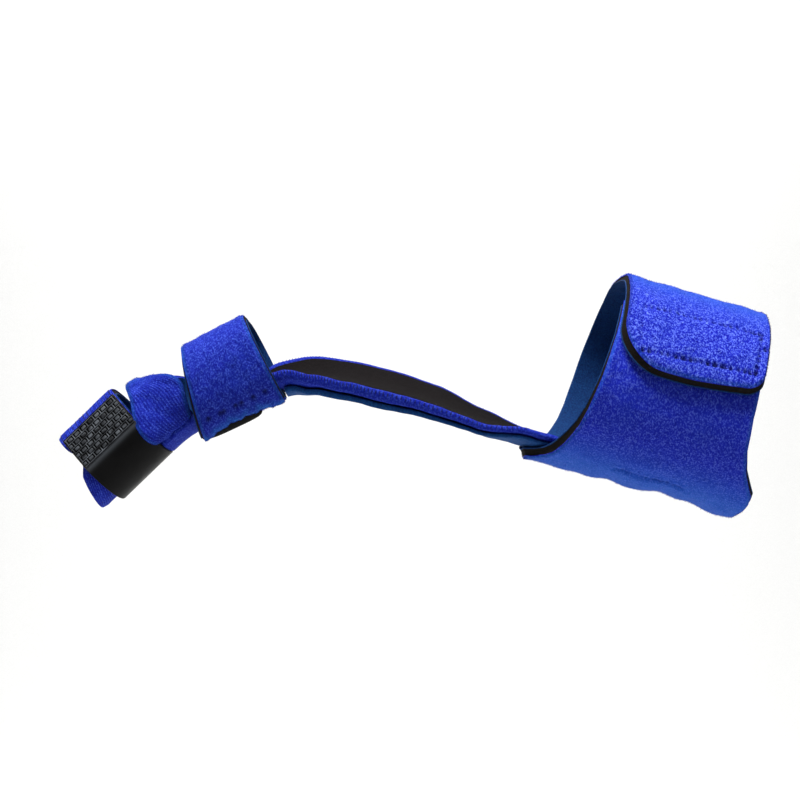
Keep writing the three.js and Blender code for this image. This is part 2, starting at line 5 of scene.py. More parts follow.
import bmesh
import bpy
import numpy as np
from bpy.props import FloatProperty, FloatVectorProperty, PointerProperty
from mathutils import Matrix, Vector


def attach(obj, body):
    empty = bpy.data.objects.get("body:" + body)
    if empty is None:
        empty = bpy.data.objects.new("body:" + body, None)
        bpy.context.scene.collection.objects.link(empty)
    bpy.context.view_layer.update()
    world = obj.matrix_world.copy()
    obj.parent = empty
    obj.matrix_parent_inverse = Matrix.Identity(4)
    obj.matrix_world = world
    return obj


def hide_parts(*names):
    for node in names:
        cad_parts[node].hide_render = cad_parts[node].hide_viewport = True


bl_info = {
    "name": "Finger splint",
    "version": (1, 0, 0),
    "blender": (4, 5, 0),
    "location": "View3D > Sidebar > Splint",
    "description": "Builds a finger splint's fabric pieces, stitching and guard",
    "category": "Add Mesh",
}

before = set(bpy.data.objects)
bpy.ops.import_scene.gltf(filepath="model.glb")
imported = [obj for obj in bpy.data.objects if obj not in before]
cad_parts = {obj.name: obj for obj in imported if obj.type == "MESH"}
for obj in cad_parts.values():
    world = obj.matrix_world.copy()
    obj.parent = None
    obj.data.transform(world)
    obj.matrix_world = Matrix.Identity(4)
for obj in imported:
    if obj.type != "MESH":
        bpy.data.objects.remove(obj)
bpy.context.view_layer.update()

# Sizes in millimetres, as in the part.
MM = 0.001
GAP = 0.3
FOREARM_SLOPE = 16.0
WRIST_HALF_HEIGHT = 26.0
WRIST_HALF_DEPTH = 29.5
CUFF_WALL = 2.5
CUFF_TO_HAND = 17.5
CUFF_TO_ELBOW = 25.2
PALM_LOBE = 15.5
ELBOW_LOBE = 8.8
FAR_EDGE_REACH = 1.6
CUFF_START_TURN = 34.0
TAB_END_TURN = 443.0
TAB_HAND_CORNER = 13.0
TAB_ELBOW_CORNER = 4.5
TAB_END_SLANT = 4.0
LAP_BEGIN_TURN = 235.0
LAP_FULL_TURN = 350.0
PATCH_THICKNESS = 1.2
PATCH_START_TURN = 398.0
PATCH_END_TURN = 430.0
PATCH_TO_HAND = 13.5
PATCH_TO_ELBOW = 22.5
STRAP_WIDTH = 26.0
STRAP_IN_CUFF = 37.0
STRAP_RUN = 104.4
STRAP_RISE = 16.8
STRAP_ROLL = 16.0
GUTTER_DEPTH = 5.0
LINING_THICKNESS = 0.9
SLEEVE_THICKNESS = 2.6
BACKING_THICKNESS = 1.3
BACKING_INSET = 0.6
BACKING_SETBACK = 1.0
EDGE_THINNING = 0.35
THICKNESS_IN_CUFF = 0.55
STRAP_WALL = 2.4
RING_SQUARENESS = 2.7
PROXIMAL_HALF_HEIGHT = 11.4
PROXIMAL_HALF_DEPTH = 11.4
PROXIMAL_START_TURN = -204.0
PROXIMAL_END_TURN = 140.0
PROXIMAL_LAP_BEGIN_TURN = -20.0
PROXIMAL_LAP_FULL_TURN = 105.0
HOOK_TAB_THICKNESS = 1.1
HOOK_TAB_WIDTH = 16.0
HOOK_TAB_OFFSET = 15.0
HOOK_TAB_CORNER = 6.0
HOOK_TAB_START_TURN = 112.0
HOOK_TAB_END_TURN = 178.0
DISTAL_SEAT_RISE = 0.5
DISTAL_HALF_HEIGHT = 8.0
DISTAL_HALF_DEPTH = 9.2
DISTAL_SQUARENESS = 2.3
DISTAL_START_TURN = -176.0
DISTAL_END_TURN = 176.0
DISTAL_TOP_SHARE = 0.22
DISTAL_TOP_TURN = 10.0
DISTAL_FULL_TURN = 88.0
TIP_SLOPE = 44.0
TIP_HALF_HEIGHT = 9.7
TIP_HALF_DEPTH = 8.2
TIP_WALL = 2.5
TIP_LENGTH = 21.2
TIP_LIP = 5.0
GUARD_THICKNESS = 1.7
GUARD_SETBACK = 0.1
GUARD_LENGTH = 20.0
GUARD_RIM = 0.6
RIB_HEIGHT = 0.5
RIB_WIDTH = 0.45
GUARD_ROWS = 6
GUARD_COLUMNS = 7

SIDE = np.array([0.0, -1.0, 0.0])


# Curves and surfaces of the part, as arrays of points in millimetres.


def eased(value, low, high):
    share = np.clip((np.asarray(value, float) - low) / (high - low), 0, 1)
    return share * share * (3 - 2 * share)


def bump(value, width):
    return np.exp(-(np.asarray(value, float) / width) ** 2)


def near_edge(away, width):
    """1 at an edge, and 0 from a width away from it."""
    return 1 - eased(away, 0, width)


def crowded(count, even):
    """Shares from 0 to 1 that lie closer together near both ends; even is the share of even spacing."""
    share = np.linspace(0, 1, count)
    return even * share + (1 - even) * (1 - np.cos(math.pi * share)) / 2


def direction(vector):
    return vector / np.linalg.norm(vector, axis=-1, keepdims=True)


def tube_axes(slope):
    """Axis towards the rear, and up, of a tube that falls towards the tip by a slope in degrees."""
    lean = np.radians(np.asarray(slope, float))
    none = np.zeros_like(lean)
    axis = np.stack([np.cos(lean), none, np.sin(lean)], -1)
    return axis, np.stack([-np.sin(lean), none, np.cos(lean)], -1)


def oval(turn, half_height, half_depth, squareness):
    """Points (side, up) of a squared ellipse and their outward normals, turn 0 at the top, 90 near."""
    def place(at):
        sine, cosine = np.sin(np.radians(at)), np.cos(np.radians(at))
        side = half_depth * np.sign(sine) * np.abs(sine) ** (2 / squareness)
        return np.stack([side, half_height * np.sign(cosine) * np.abs(cosine) ** (2 / squareness)], -1)
    run = direction(place(turn + 1) - place(turn - 1))
    return place(turn), np.stack([-run[..., 1], run[..., 0]], -1)


def around(centre, up, spot):
    return centre + SIDE * spot[..., :1] + up * spot[..., 1:]


def soft_noise(points, size, seed, waves=14):
    """Smooth noise of about -1 to 1 with bumps of a given size in millimetres."""
    chance = np.random.default_rng(seed)
    way = direction(chance.normal(size=(waves, 3)))
    way *= (2 * math.pi / size) * chance.uniform(0.6, 1.5, (waves, 1))
    phase = chance.uniform(0, 2 * math.pi, waves)
    total = np.zeros(points.shape[:-1])
    for run, start in zip(way, phase):
        total += np.sin(points @ run + start)
    return total / math.sqrt(waves)


# Reach of the cuff's two lobes, towards the tip (front) and away from it (rear), by the angle away from the
# bottom: away, front, rear.
CUFF_LOBES = np.array([
    (0, 1, 0.93), (12, 1, 0.94), (18, 0.84, 0.97), (24, 0.69, 1), (33, 0.55, 1), (41, 0.47, 0.93),
    (49, 0.38, 0.68), (58, 0.29, 0.4), (70, 0.21, 0.18), (90, 0.12, 0.03), (118, 0.04, 0), (145, 0, 0)])
# Soft dents of the cuff: turn, along, depth as a share of the wall, spread round and along.
CUFF_DENTS = [
    (180, 11, 0.6, 26, 5), (180, 20, 0.34, 24, 3.5), (180, -5.5, 0.3, 20, 3.5), (176, 28.5, -0.22, 22, 4),
    (148, 4, 0.22, 5, 9), (137, 2, -0.2, 6, 9), (270, 3, -0.3, 30, 14), (110, 6, -0.16, 20, 12)]
CUFF_LAP = CUFF_WALL + PATCH_THICKNESS + 2 * GAP
CUFF_RADIUS = (WRIST_HALF_HEIGHT + WRIST_HALF_DEPTH) / 2 + CUFF_WALL + CUFF_LAP
FOREARM_AXIS, FOREARM_UP = tube_axes(-FOREARM_SLOPE)


def cuff_dent(turn, along):
    depth = 0.0
    for at, place, share, spread, reach in CUFF_DENTS:
        depth = depth + share * CUFF_WALL * bump(turn - at, spread) * bump(along - place, reach)
    return depth


def cuff_edges(turn):
    away = np.abs(turn - 180)
    far = eased(turn, 215, 300) * (1 - eased(turn, 335, 365))
    front, rear = (np.interp(away, CUFF_LOBES[:, 0], CUFF_LOBES[:, k]) for k in (1, 2))
    return -CUFF_TO_HAND - PALM_LOBE * front - FAR_EDGE_REACH * far, CUFF_TO_ELBOW + ELBOW_LOBE * rear


def cuff_ring(turn, along, lift):
    spot, normal = oval(turn, WRIST_HALF_HEIGHT, WRIST_HALF_DEPTH, 2)
    return around(FOREARM_AXIS * along[..., None], FOREARM_UP, spot + normal * lift[..., None])


def cuff_point(turn, along, height):
    """Point of the cuff's band: height is over its inner face."""
    turn, along = np.asarray(turn, float), np.asarray(along, float)
    lift = CUFF_LAP * eased(turn, LAP_BEGIN_TURN, LAP_FULL_TURN) + height - cuff_dent(turn, along)
    return cuff_ring(turn, along, lift)


def corner_drop(radius, distance):
    short = np.clip(radius - distance, 0, radius)
    return radius - np.sqrt(radius * radius - short ** 2)


def tab_end(across):
    width = CUFF_TO_HAND + CUFF_TO_ELBOW
    from_front = across * width
    drop = TAB_END_SLANT * (from_front / width) ** 2 + corner_drop(TAB_HAND_CORNER, from_front)
    drop = drop + corner_drop(TAB_ELBOW_CORNER, width - from_front)
    drop = drop + 0.9 * bump(from_front - 3, 6) - 0.9 * eased(from_front, 8, 24)
    return TAB_END_TURN - np.degrees(drop / CUFF_RADIUS)


# Route of the palm strap: the middle of the sleeve's underside.
STRAP_FLOOR = -WRIST_HALF_HEIGHT + GAP + BACKING_THICKNESS + GAP
MOUTH_ALONG = -CUFF_TO_HAND - PALM_LOBE


def floor_point(along):
    lift = max(0.0, float(cuff_dent(180.0, along)))
    return FOREARM_AXIS * along + FOREARM_UP * (STRAP_FLOOR + lift)


MOUTH = floor_point(MOUTH_ALONG)
CUFF_SAG = WRIST_HALF_HEIGHT * (1 - math.sqrt(1 - (STRAP_WIDTH / 2 / WRIST_HALF_DEPTH) ** 2)) + GAP / 2
# Stations of the route: run, rise, sag, roll, width, thick.
STRAP_STATIONS = [
    (0.135, 0.29, 0.36, 0.65, 1, 0.62), (0.265, 0.62, 0.32, 0.9, 1, 0.82), (0.4, 0.84, 0.32, 1, 1, 1),
    (0.51, 0.965, 0.45, 1, 0.98, 1), (0.6, 1, 0.68, 0.95, 0.9, 1), (0.675, 0.945, 0.9, 0.6, 0.76, 0.95),
    (0.78, 0.69, 0.75, 0.1, 0.68, 0.75), (0.88, 0.37, 0.6, 0, 0.67, 0.68), (0.96, 0.06, 0.5, 0, 0.66, 0.66),
    (1, -0.15, 0.45, 0, 0.66, 0.66)]


def strap_stations():
    points, values = [], []
    for i in range(6):
        points.append(floor_point(MOUTH_ALONG + STRAP_IN_CUFF * (1 - i / 5)))
        values.append((CUFF_SAG / GUTTER_DEPTH, 0, 1, THICKNESS_IN_CUFF))
    for run, rise, *rest in STRAP_STATIONS:
        points.append(MOUTH + np.array([-run * STRAP_RUN, 0, rise * STRAP_RISE]))
        values.append(tuple(rest))
    return np.array(points), np.array(values)


ROUTE, ROUTE_VALUES = strap_stations()
ROUTE_STEPS = len(ROUTE) - 1


def route_point(share):
    """Point of a centripetal spline through the stations."""
    place = min(max(share, 0.0), 1.0) * ROUTE_STEPS
    first = min(int(place), ROUTE_STEPS - 1)
    weight = place - first
    p1, p2 = ROUTE[first], ROUTE[first + 1]
    p0 = ROUTE[first - 1] if first > 0 else 2 * p1 - p2
    p3 = ROUTE[first + 2] if first + 2 <= ROUTE_STEPS else 2 * p2 - p1
    d0, d1, d2 = (math.sqrt(np.linalg.norm(b - a)) for a, b in ((p0, p1), (p1, p2), (p2, p3)))
    t1 = ((p1 - p0) / d0 - (p2 - p0) / (d0 + d1) + (p2 - p1) / d1) * d1
    t2 = ((p2 - p1) / d1 - (p3 - p1) / (d1 + d2) + (p3 - p2) / d2) * d1
    square, cube = weight ** 2, weight ** 3
    return p1 + t1 * weight + (3 * p2 - 3 * p1 - 2 * t1 - t2) * square + (2 * p1 - 2 * p2 + t1 + t2) * cube


def strap_at(shares):
    """Centre, up, and the columns sag, roll, width and thick at an array of shares of the route."""
    shares = np.atleast_1d(np.asarray(shares, float))
    centre = np.array([route_point(s) for s in shares])
    ahead = np.array([route_point(s + 1e-4) - route_point(s - 1e-4) for s in shares])
    slope = np.degrees(np.arctan2(-ahead[:, 2], -ahead[:, 0]))
    place = shares * ROUTE_STEPS
    first = np.minimum(place.astype(int), ROUTE_STEPS - 1)
    weight = eased(place - first, 0, 1)[:, None]
    values = ROUTE_VALUES[first] * (1 - weight) + ROUTE_VALUES[first + 1] * weight
    return centre, tube_axes(slope)[1], values * [GUTTER_DEPTH, STRAP_ROLL, STRAP_WIDTH, 1]


def share_at_run(run):
    goal, low, high = MOUTH[0] - run * STRAP_RUN, 0.0, 1.0
    for _ in range(40):
        middle = (low + high) / 2
        low, high = (middle, high) if route_point(middle)[0] > goal else (low, middle)
    return (low + high) / 2


def strap_points(shares, across, height, inset=0.0):
    """Grid of strap points: across is from -1 to 1, and height(thick, across) is over the route."""
    centre, up, values = strap_at(shares)
    sag, roll, width, thick = (values[:, k, None] for k in range(4))
    across = np.broadcast_to(across, (len(centre), np.shape(across)[-1]))
    side = across * (width / 2 - inset)
    rise = sag * (side / (width / 2)) ** 2 + height(thick, across)
    lean = np.radians(roll)
    lateral = side * np.cos(lean) + rise * np.sin(lean)
    upward = rise * np.cos(lean) - side * np.sin(lean)
    return centre[:, None] + SIDE * lateral[..., None] + up[:, None] * upward[..., None]


# Finger straps: run and slope of the rear edge and of the edge towards the tip.
PROXIMAL_EDGES = ((0.686, 27.0), (0.917, 13.0))
DISTAL_EDGES = ((0.93, 14.0), (1.0, 36.0))


def ring_frame(edges, height):
    """Centre and up at along, which is 0 at the edge towards the tip and 1 at the rear edge."""
    ends = []
    for run, slope in edges:
        foot = strap_at(share_at_run(run))[0][0]
        ends.append((foot + tube_axes(slope)[1] * height, slope))
    (rear, rear_slope), (tip, tip_slope) = ends

    def at(along):
        along = np.asarray(along, float)
        slope = tip_slope + (rear_slope - tip_slope) * along
        return tip + (rear - tip) * along[..., None], tube_axes(slope)[1]
    return at


PROXIMAL_FRAME = ring_frame(PROXIMAL_EDGES, PROXIMAL_HALF_HEIGHT - GAP)
PROXIMAL_LAP = STRAP_WALL + HOOK_TAB_THICKNESS + 2 * GAP
PROXIMAL_WIDTH = float(np.linalg.norm(PROXIMAL_FRAME(0.0)[0] - PROXIMAL_FRAME(1.0)[0]))
FINGER_LAYERS = (SLEEVE_THICKNESS + LINING_THICKNESS) * ROUTE_VALUES[-1][3]
DISTAL_SEAT = FINGER_LAYERS + 3 * GAP + DISTAL_SEAT_RISE
DISTAL_FRAME = ring_frame(DISTAL_EDGES, DISTAL_SEAT + STRAP_WALL + DISTAL_HALF_HEIGHT)


# Rings of the finger straps: frame, half height, half depth and squareness.
PROXIMAL_RING = (PROXIMAL_FRAME, PROXIMAL_HALF_HEIGHT, PROXIMAL_HALF_DEPTH, RING_SQUARENESS)
DISTAL_RING = (DISTAL_FRAME, DISTAL_HALF_HEIGHT, DISTAL_HALF_DEPTH, DISTAL_SQUARENESS)


def ring_point(ring, turn, along, lift):
    """Point of a ring's band: lift is over its inner face."""
    frame_at, *section = ring
    spot, normal = oval(turn, *section)
    centre, up = frame_at(along)
    return around(centre, up, spot + normal * np.asarray(lift)[..., None])


def proximal_point(turn, along, height):
    lift = PROXIMAL_LAP * eased(turn, PROXIMAL_LAP_BEGIN_TURN, PROXIMAL_LAP_FULL_TURN) + height
    return ring_point(PROXIMAL_RING, turn, along, lift)


def distal_point(turn, along, height):
    return ring_point(DISTAL_RING, turn, along, height)


# Corners of the tip loop's section: side, up, fillet, and whether the fillet stays sharp.
TIP_CORNERS = [(-1, 1, 7, False), (0.5, 1, 2.5, False), (1.08, -0.24, 1.2, True), (1, -1, 7, False),
               (-1, -1, 7, False)]
TIP_AXIS, TIP_UP = tube_axes(TIP_SLOPE)
TIP_CENTRE = strap_at(1.0)[0][0] - TIP_AXIS * 2 * GAP \
    + TIP_UP * (GUARD_THICKNESS + GAP + TIP_WALL + TIP_HALF_HEIGHT)


def tip_corners(offset):
    """For each corner of the section: the fillet's start, middle and end, moved out by an offset."""
    corners = np.array([(s * TIP_HALF_DEPTH, u * TIP_HALF_HEIGHT) for s, u, _, _ in TIP_CORNERS])
    count = len(corners)
    moved = []
    for i in range(count):
        before = direction(corners[i] - corners[i - 1])
        after = direction(corners[(i + 1) % count] - corners[i])
        first, second = np.array([-before[1], before[0]]), np.array([-after[1], after[0]])
        middle = direction(first + second)
        moved.append(corners[i] + middle * (offset / middle.dot(first)))
    arcs = []
    for i, (_, _, fillet, sharp) in enumerate(TIP_CORNERS):
        before = direction(moved[i - 1] - moved[i])
        after = direction(moved[(i + 1) % count] - moved[i])
        half = math.acos(before.dot(after)) / 2
        radius = fillet + (0 if sharp else offset)
        hub = moved[i] + direction(before + after) * radius / math.sin(half)
        back = radius / math.tan(half)
        start, stop = moved[i] + before * back - hub, moved[i] + after * back - hub
        sweep = math.atan2(stop[1], stop[0]) - math.atan2(start[1], start[0])
        arcs.append((hub, start, (sweep + math.pi) % (2 * math.pi) - math.pi))
    return arcs


def tip_section(offset, arc_steps, line_steps):
    """Points round the section: each fillet in arc_steps and the straight after it in line_steps[i]."""
    arcs = tip_corners(offset)
    points = []
    for i, (hub, start, sweep) in enumerate(arcs):
        for k in range(arc_steps + 1):
            angle = sweep * k / arc_steps
            cosine, sine = math.cos(angle), math.sin(angle)
            points.append(hub + [start[0] * cosine - start[1] * sine, start[0] * sine + start[1] * cosine])
        hub, start, _ = arcs[(i + 1) % len(arcs)]
        last, stop = points[-1], hub + start
        points.extend(last + (stop - last) * k / line_steps[i] for k in range(1, line_steps[i]))
    return np.array(points)


def tip_point(spot, distance):
    """Distance is from the loop's rear end towards the tip."""
    return around(TIP_CENTRE, TIP_UP, spot) - TIP_AXIS * np.asarray(distance)[..., None]


# Meshes.

def perimeter(rows, columns):
    """Grid places (i, j) round the outside of a grid, in order."""
    way = [(0, j) for j in range(columns)] + [(i, columns - 1) for i in range(1, rows)]
    way += [(rows - 1, j) for j in range(columns - 2, -1, -1)] + [(i, 0) for i in range(rows - 2, 0, -1)]
    return np.array(way)


def edge_outward(face, back, way, inner):
    """Directions out of a laminate's edge, level with it, at the grid places of one closed way round."""
    middle = (face + back)[way[:, 0], way[:, 1]] / 2
    run = np.roll(middle, -1, 0) - np.roll(middle, 1, 0)
    thick = (face - back)[way[:, 0], way[:, 1]]
    out = np.cross(run, thick)
    out /= np.linalg.norm(out, axis=1, keepdims=True) + 1e-12
    inside = (face + back)[inner[:, 0], inner[:, 1]] / 2
    if np.median(np.einsum("ij,ij->i", out, middle - inside)) < 0:
        out = -out
    return out


FOAM_ROUGHNESS = 0.05


def laminate(face, back, rim, ring=False):
    """Closed shell of a laminate between two grids of points, with a cut edge or two.

    Returns points, quads, the number of each quad's finish and a flat (u, v) for each point.
    """
    rows, columns = face.shape[:2]
    count = rows * columns
    index = np.arange(count).reshape(rows, columns)
    step_u = np.linalg.norm(np.diff(face, axis=0), axis=2).mean(1)
    step_v = np.linalg.norm(np.diff(face, axis=1), axis=2).mean(0)
    flat = [np.append(0, np.cumsum(step)) for step in (step_u, step_v)]
    flat = np.stack(np.meshgrid(*flat, indexing="ij"), -1)
    points, uvs = [face.reshape(-1, 3), back.reshape(-1, 3)], [flat.reshape(-1, 2)] * 2
    quads, kinds = [], []

    def add(a, b, c, d, kind):
        quad = np.stack([a, b, c, d], -1).reshape(-1, 4)
        quads.append(quad)
        kinds.append(np.full(len(quad), kind))

    if ring:
        index = np.vstack([index, index[:1]])
    a, b, c, d = index[:-1, :-1], index[1:, :-1], index[1:, 1:], index[:-1, 1:]
    add(a, b, c, d, 0)
    add(a + count, d + count, c + count, b + count, rim["back"])
    if ring:
        ways = [np.array([(i, j) for i in range(rows)]) for j in (0, columns - 1)]
        inners = [way + [0, 1 if way[0, 1] == 0 else -1] for way in ways]
    else:
        ways = [perimeter(rows, columns)]
        inners = [np.clip(ways[0], 1, [rows - 2, columns - 2])]
    total = 2 * count
    for way, inner in zip(ways, inners):
        out = edge_outward(face, back, way, inner)
        top, bottom = face[way[:, 0], way[:, 1]], back[way[:, 0], way[:, 1]]
        last = way[:, 0] * columns + way[:, 1]
        for down, reach, kind in rim["rows"]:
            place = top + (bottom - top) * down
            rough = FOAM_ROUGHNESS * soft_noise(place, 0.9, 5) if kind == rim["core"] else 0.0
            points.append(place + out * np.asarray(reach + rough)[..., None])
            uvs.append(flat[way[:, 0], way[:, 1]])
            row = np.arange(total, total + len(way))
            add(last, np.roll(last, -1), np.roll(row, -1), row, kind)
            last, total = row, total + len(way)
        row = way[:, 0] * columns + way[:, 1] + count
        add(last, np.roll(last, -1), np.roll(row, -1), row, rim["last"])
    return np.vstack(points), np.vstack(quads), np.concatenate(kinds), np.vstack(uvs)


# What a fabric's points carry: how strongly its pile's speckle shows, raised where it stands for painted
# sparkle; painted shade down in a stitch or a recess; and how far it is paler, from fading at an edge and from
# painted light.
FIELDS = {"brushed": 0.4, "sunk": 0.0, "faded": 0.0}


def make_mesh(name, points, quads, kinds, materials, uvs=None, fields=None, normals=None):
    """Object of a mesh from points in millimetres, with its faces turned outwards and smooth.

    fields holds values of the first points for names of FIELDS; the other points keep the usual value.
    """
    mesh = bpy.data.meshes.new(name)
    faces = quads.tolist() if isinstance(quads, np.ndarray) else quads
    mesh.from_pydata((np.asarray(points) * MM).tolist(), [], faces)
    for material in materials:
        mesh.materials.append(material)
    mesh.polygons.foreach_set("material_index", np.asarray(kinds, np.int32))
    if uvs is not None:
        corners = np.empty(len(mesh.loops), np.int32)
        mesh.loops.foreach_get("vertex_index", corners)
        layer = mesh.uv_layers.new(name="flat_mm")
        layer.data.foreach_set("uv", np.asarray(uvs)[corners].astype(np.float32).ravel())
    for field, usual in FIELDS.items():
        values = np.full(len(points), usual, np.float32)
        given = np.ravel((fields or {}).get(field, []))
        values[:len(given)] = given
        mesh.attributes.new(field, "FLOAT", "POINT").data.foreach_set("value", values)
    work = bmesh.new()
    work.from_mesh(mesh)
    bmesh.ops.recalc_face_normals(work, faces=work.faces)
    work.to_mesh(mesh)
    work.free()
    mesh.shade_smooth()
    if normals is not None:
        mesh.normals_split_custom_set_from_vertices(normals.tolist())
    thing = bpy.data.objects.new(name, mesh)
    bpy.context.scene.collection.objects.link(thing)
    return thing


def tubes(paths, radius, sides=6):
    """Closed round threads along paths of the same number of points: points and quads."""
    paths = np.asarray(paths, float)
    count, steps = paths.shape[:2]
    run = np.gradient(paths, axis=1)
    run /= np.linalg.norm(run, axis=2, keepdims=True) + 1e-12
    helper = np.where(np.abs(run[..., :1]) > 0.8, [0.0, 0.0, 1.0], [1.0, 0.0, 0.0])
    first = direction(np.cross(run, helper))
    second = np.cross(run, first)
    size = radius * np.sqrt(np.clip(1 - (np.linspace(-1, 1, steps) * 0.92) ** 4, 0.05, 1))
    turn = np.linspace(0, 2 * math.pi, sides, endpoint=False)
    circle = first[:, :, None] * np.cos(turn)[:, None] + second[:, :, None] * np.sin(turn)[:, None]
    points = (paths[:, :, None] + circle * size[None, :, None, None]).reshape(-1, 3)
    index = np.arange(count * steps * sides).reshape(count, steps, sides)
    beside = np.roll(index, -1, 2)
    quads = np.stack([index[:, :-1], beside[:, :-1], beside[:, 1:], index[:, 1:]], -1)
    quads = quads.reshape(-1, 4).tolist()
    quads += index[:, 0, ::-1].tolist() + index[:, -1].tolist()
    return points, quads


# Materials.

def linear(code):
    """Linear colour with alpha from an sRGB hex code, or from a colour that is linear already."""
    if not isinstance(code, str):
        return tuple(code)[:3] + (1.0,)
    parts = [int(code[i:i + 2], 16) / 255 for i in (1, 3, 5)]
    return tuple(c / 12.92 if c <= 0.04045 else ((c + 0.055) / 1.055) ** 2.4 for c in parts) + (1.0,)


def add_node(tree, kind, inputs=None, **settings):
    """Adds a node with its settings. inputs maps a socket to a value or to another node's socket."""
    made = tree.nodes.new(kind)
    for name, value in settings.items():
        setattr(made, name, value)
    for socket, value in (inputs or {}).items():
        if isinstance(value, bpy.types.NodeSocket):
            tree.links.new(value, made.inputs[socket])
        else:
            made.inputs[socket].default_value = value
    return made


def new_material(name):
    """Empty material, its tree, and the place in object space that its patterns are laid by."""
    material = bpy.data.materials.new(name)
    material.use_nodes = True
    tree = material.node_tree
    tree.nodes.clear()
    return material, tree, add_node(tree, "ShaderNodeTexCoord").outputs["Object"]


def finish_material(tree, colour, normal=None, **sockets):
    """Shader with plain values on its own sockets, and the colour and normal from the tree."""
    inputs = {"Base Color": colour}
    if normal is not None:
        inputs["Normal"] = normal
    for name, value in sockets.items():
        inputs[name.replace("_", " ").title().replace("Ior", "IOR")] = value
    shader = add_node(tree, "ShaderNodeBsdfPrincipled", inputs)
    add_node(tree, "ShaderNodeOutputMaterial", {"Surface": shader.outputs["BSDF"]})


def ramp(tree, factor, stops):
    """Colour ramp through (place, hex) stops."""
    made = add_node(tree, "ShaderNodeValToRGB", {"Fac": factor})
    elements = made.color_ramp.elements
    while len(elements) < len(stops):
        elements.new(0.5)
    for element, (place, code) in zip(elements, stops):
        element.position = place
        element.color = linear(code)
    return made.outputs["Color"]


def noise(tree, place, size, **inputs):
    """Noise in object space, in metres, with spots of a size in millimetres."""
    inputs = {name.title(): value for name, value in inputs.items()}
    scale = 1.0 / (size * MM)
    return add_node(tree, "ShaderNodeTexNoise", {"Vector": place, "Scale": scale, **inputs}).outputs["Fac"]


# Width of one band of the wave texture at scale 1.
WAVE_BAND = 0.314


def wave(tree, place, band, way, **inputs):
    """Bands of a width, in the unit of the place that they are laid by."""
    inputs = {name.replace("_", " ").title(): value for name, value in inputs.items()}
    return add_node(tree, "ShaderNodeTexWave", {"Vector": place, "Scale": WAVE_BAND / band, **inputs},
                    bands_direction=way).outputs["Fac"]


def flat_place(tree):
    """Place on the cut sheet, in millimetres."""
    return add_node(tree, "ShaderNodeUVMap", uv_map="flat_mm").outputs[0]


def mapped(tree, value, low, high, to_low=0.0, to_high=1.0):
    return add_node(tree, "ShaderNodeMapRange", {
        "Value": value, "From Min": low, "From Max": high, "To Min": to_low, "To Max": to_high}).outputs[0]


def added(tree, value, share, other):
    """A share of a value, added to another."""
    made = add_node(tree, "ShaderNodeMath", {0: value, 1: share, 2: other}, operation="MULTIPLY_ADD")
    return made.outputs[0]


def relief(tree, height, strength, depth):
    """Normal of a surface whose height rises by a depth in millimetres."""
    return add_node(tree, "ShaderNodeBump", {
        "Height": height, "Strength": strength, "Distance": depth * MM}).outputs[0]


def field(tree, name):
    return add_node(tree, "ShaderNodeAttribute", attribute_name=name).outputs["Fac"]


def blend(tree, factor, first, second):
    mixed = add_node(tree, "ShaderNodeMix", {"Factor": factor, 6: first, 7: second}, data_type="RGBA")
    return mixed.outputs[2]


def with_fade_and_painted_light(tree, colour):
    """Paler where the pile is faded at an edge or carries painted light, and nearly black with painted shade
    down in a stitch.
    """
    return blend(tree, field(tree, "sunk"), blend(tree, field(tree, "faded"), colour, linear("#2874cc")),
                 linear("#050628"))


def napped_fabric(tree, colour, normal, bloom):
    """Matt nylon with a pale blue bloom at a low angle."""
    finish_material(tree, with_fade_and_painted_light(tree, colour), normal, roughness=0.75, specular_ior_level=0.1,
                    sheen_weight=bloom, sheen_roughness=0.4, sheen_tint=linear("#4a9cf0"))


def brushed_loop(name, dyes, loop, nap="#1638a8"):
    """Brushed unbroken-loop nylon: a short felted pile of fine loops, drawn as painted highlights on the fibre
    tips over painted shade in the gaps, clouds where the nap lies another way, and a pale bloom at a low
    angle. The loops are drawn coarser than real ones, of about 0.2 mm, so that they show."""
    material, tree, place = new_material(name)
    shade, middle, tip = dyes
    combed = add_node(tree, "ShaderNodeMapping", {
        "Vector": place, "Rotation": (0, math.radians(35), 0), "Scale": (1.0, 1.0, 0.7)}).outputs[0]
    loops = noise(tree, combed, loop, detail=2.0, roughness=0.55)
    height = added(tree, noise(tree, place, loop * 2.6, detail=1.0), 0.2, loops)
    # Painted shade in the gaps between the loops and painted highlights on the fibre tips.
    pile = ramp(tree, mapped(tree, height, 0.39, 0.81), [(0.1, shade), (0.45, middle), (0.95, tip)])
    colour = blend(tree, field(tree, "brushed"), linear(middle), pile)
    cloud = mapped(tree, noise(tree, place, 9.0, detail=2.0), 0.45, 0.75, 0.0, 0.18)
    napped_fabric(tree, blend(tree, cloud, colour, linear(nap)), relief(tree, height, 0.75, 0.24), 0.1)
    return material


def knitted_loop(name, dyes):
    """Warp-knitted nylon: rounded wales that lean across the strap, with painted shade in the valleys and
    painted highlights on the fibres.
    """
    material, tree, place = new_material(name)
    shade, middle, tip = dyes
    leaned = add_node(tree, "ShaderNodeMapping", {
        "Vector": flat_place(tree), "Rotation": (0, 0, math.radians(80))}).outputs[0]
    wales = wave(tree, leaned, 0.62, "X", distortion=2.6, detail=3.0, detail_scale=2.0)
    loops = noise(tree, place, 0.4, detail=3.0, roughness=0.7, distortion=0.6)
    height = added(tree, noise(tree, place, 3.0, detail=2.0), 0.25, added(tree, wales, 0.16, loops))
    # Painted shade low in the valleys and painted highlights on the raised fibres.
    colour = ramp(tree, mapped(tree, height, 0.42, 1.02), [(0.15, shade), (0.5, middle), (0.9, tip)])
    napped_fabric(tree, colour, relief(tree, height, 0.85, 0.35), 0.12)
    return material


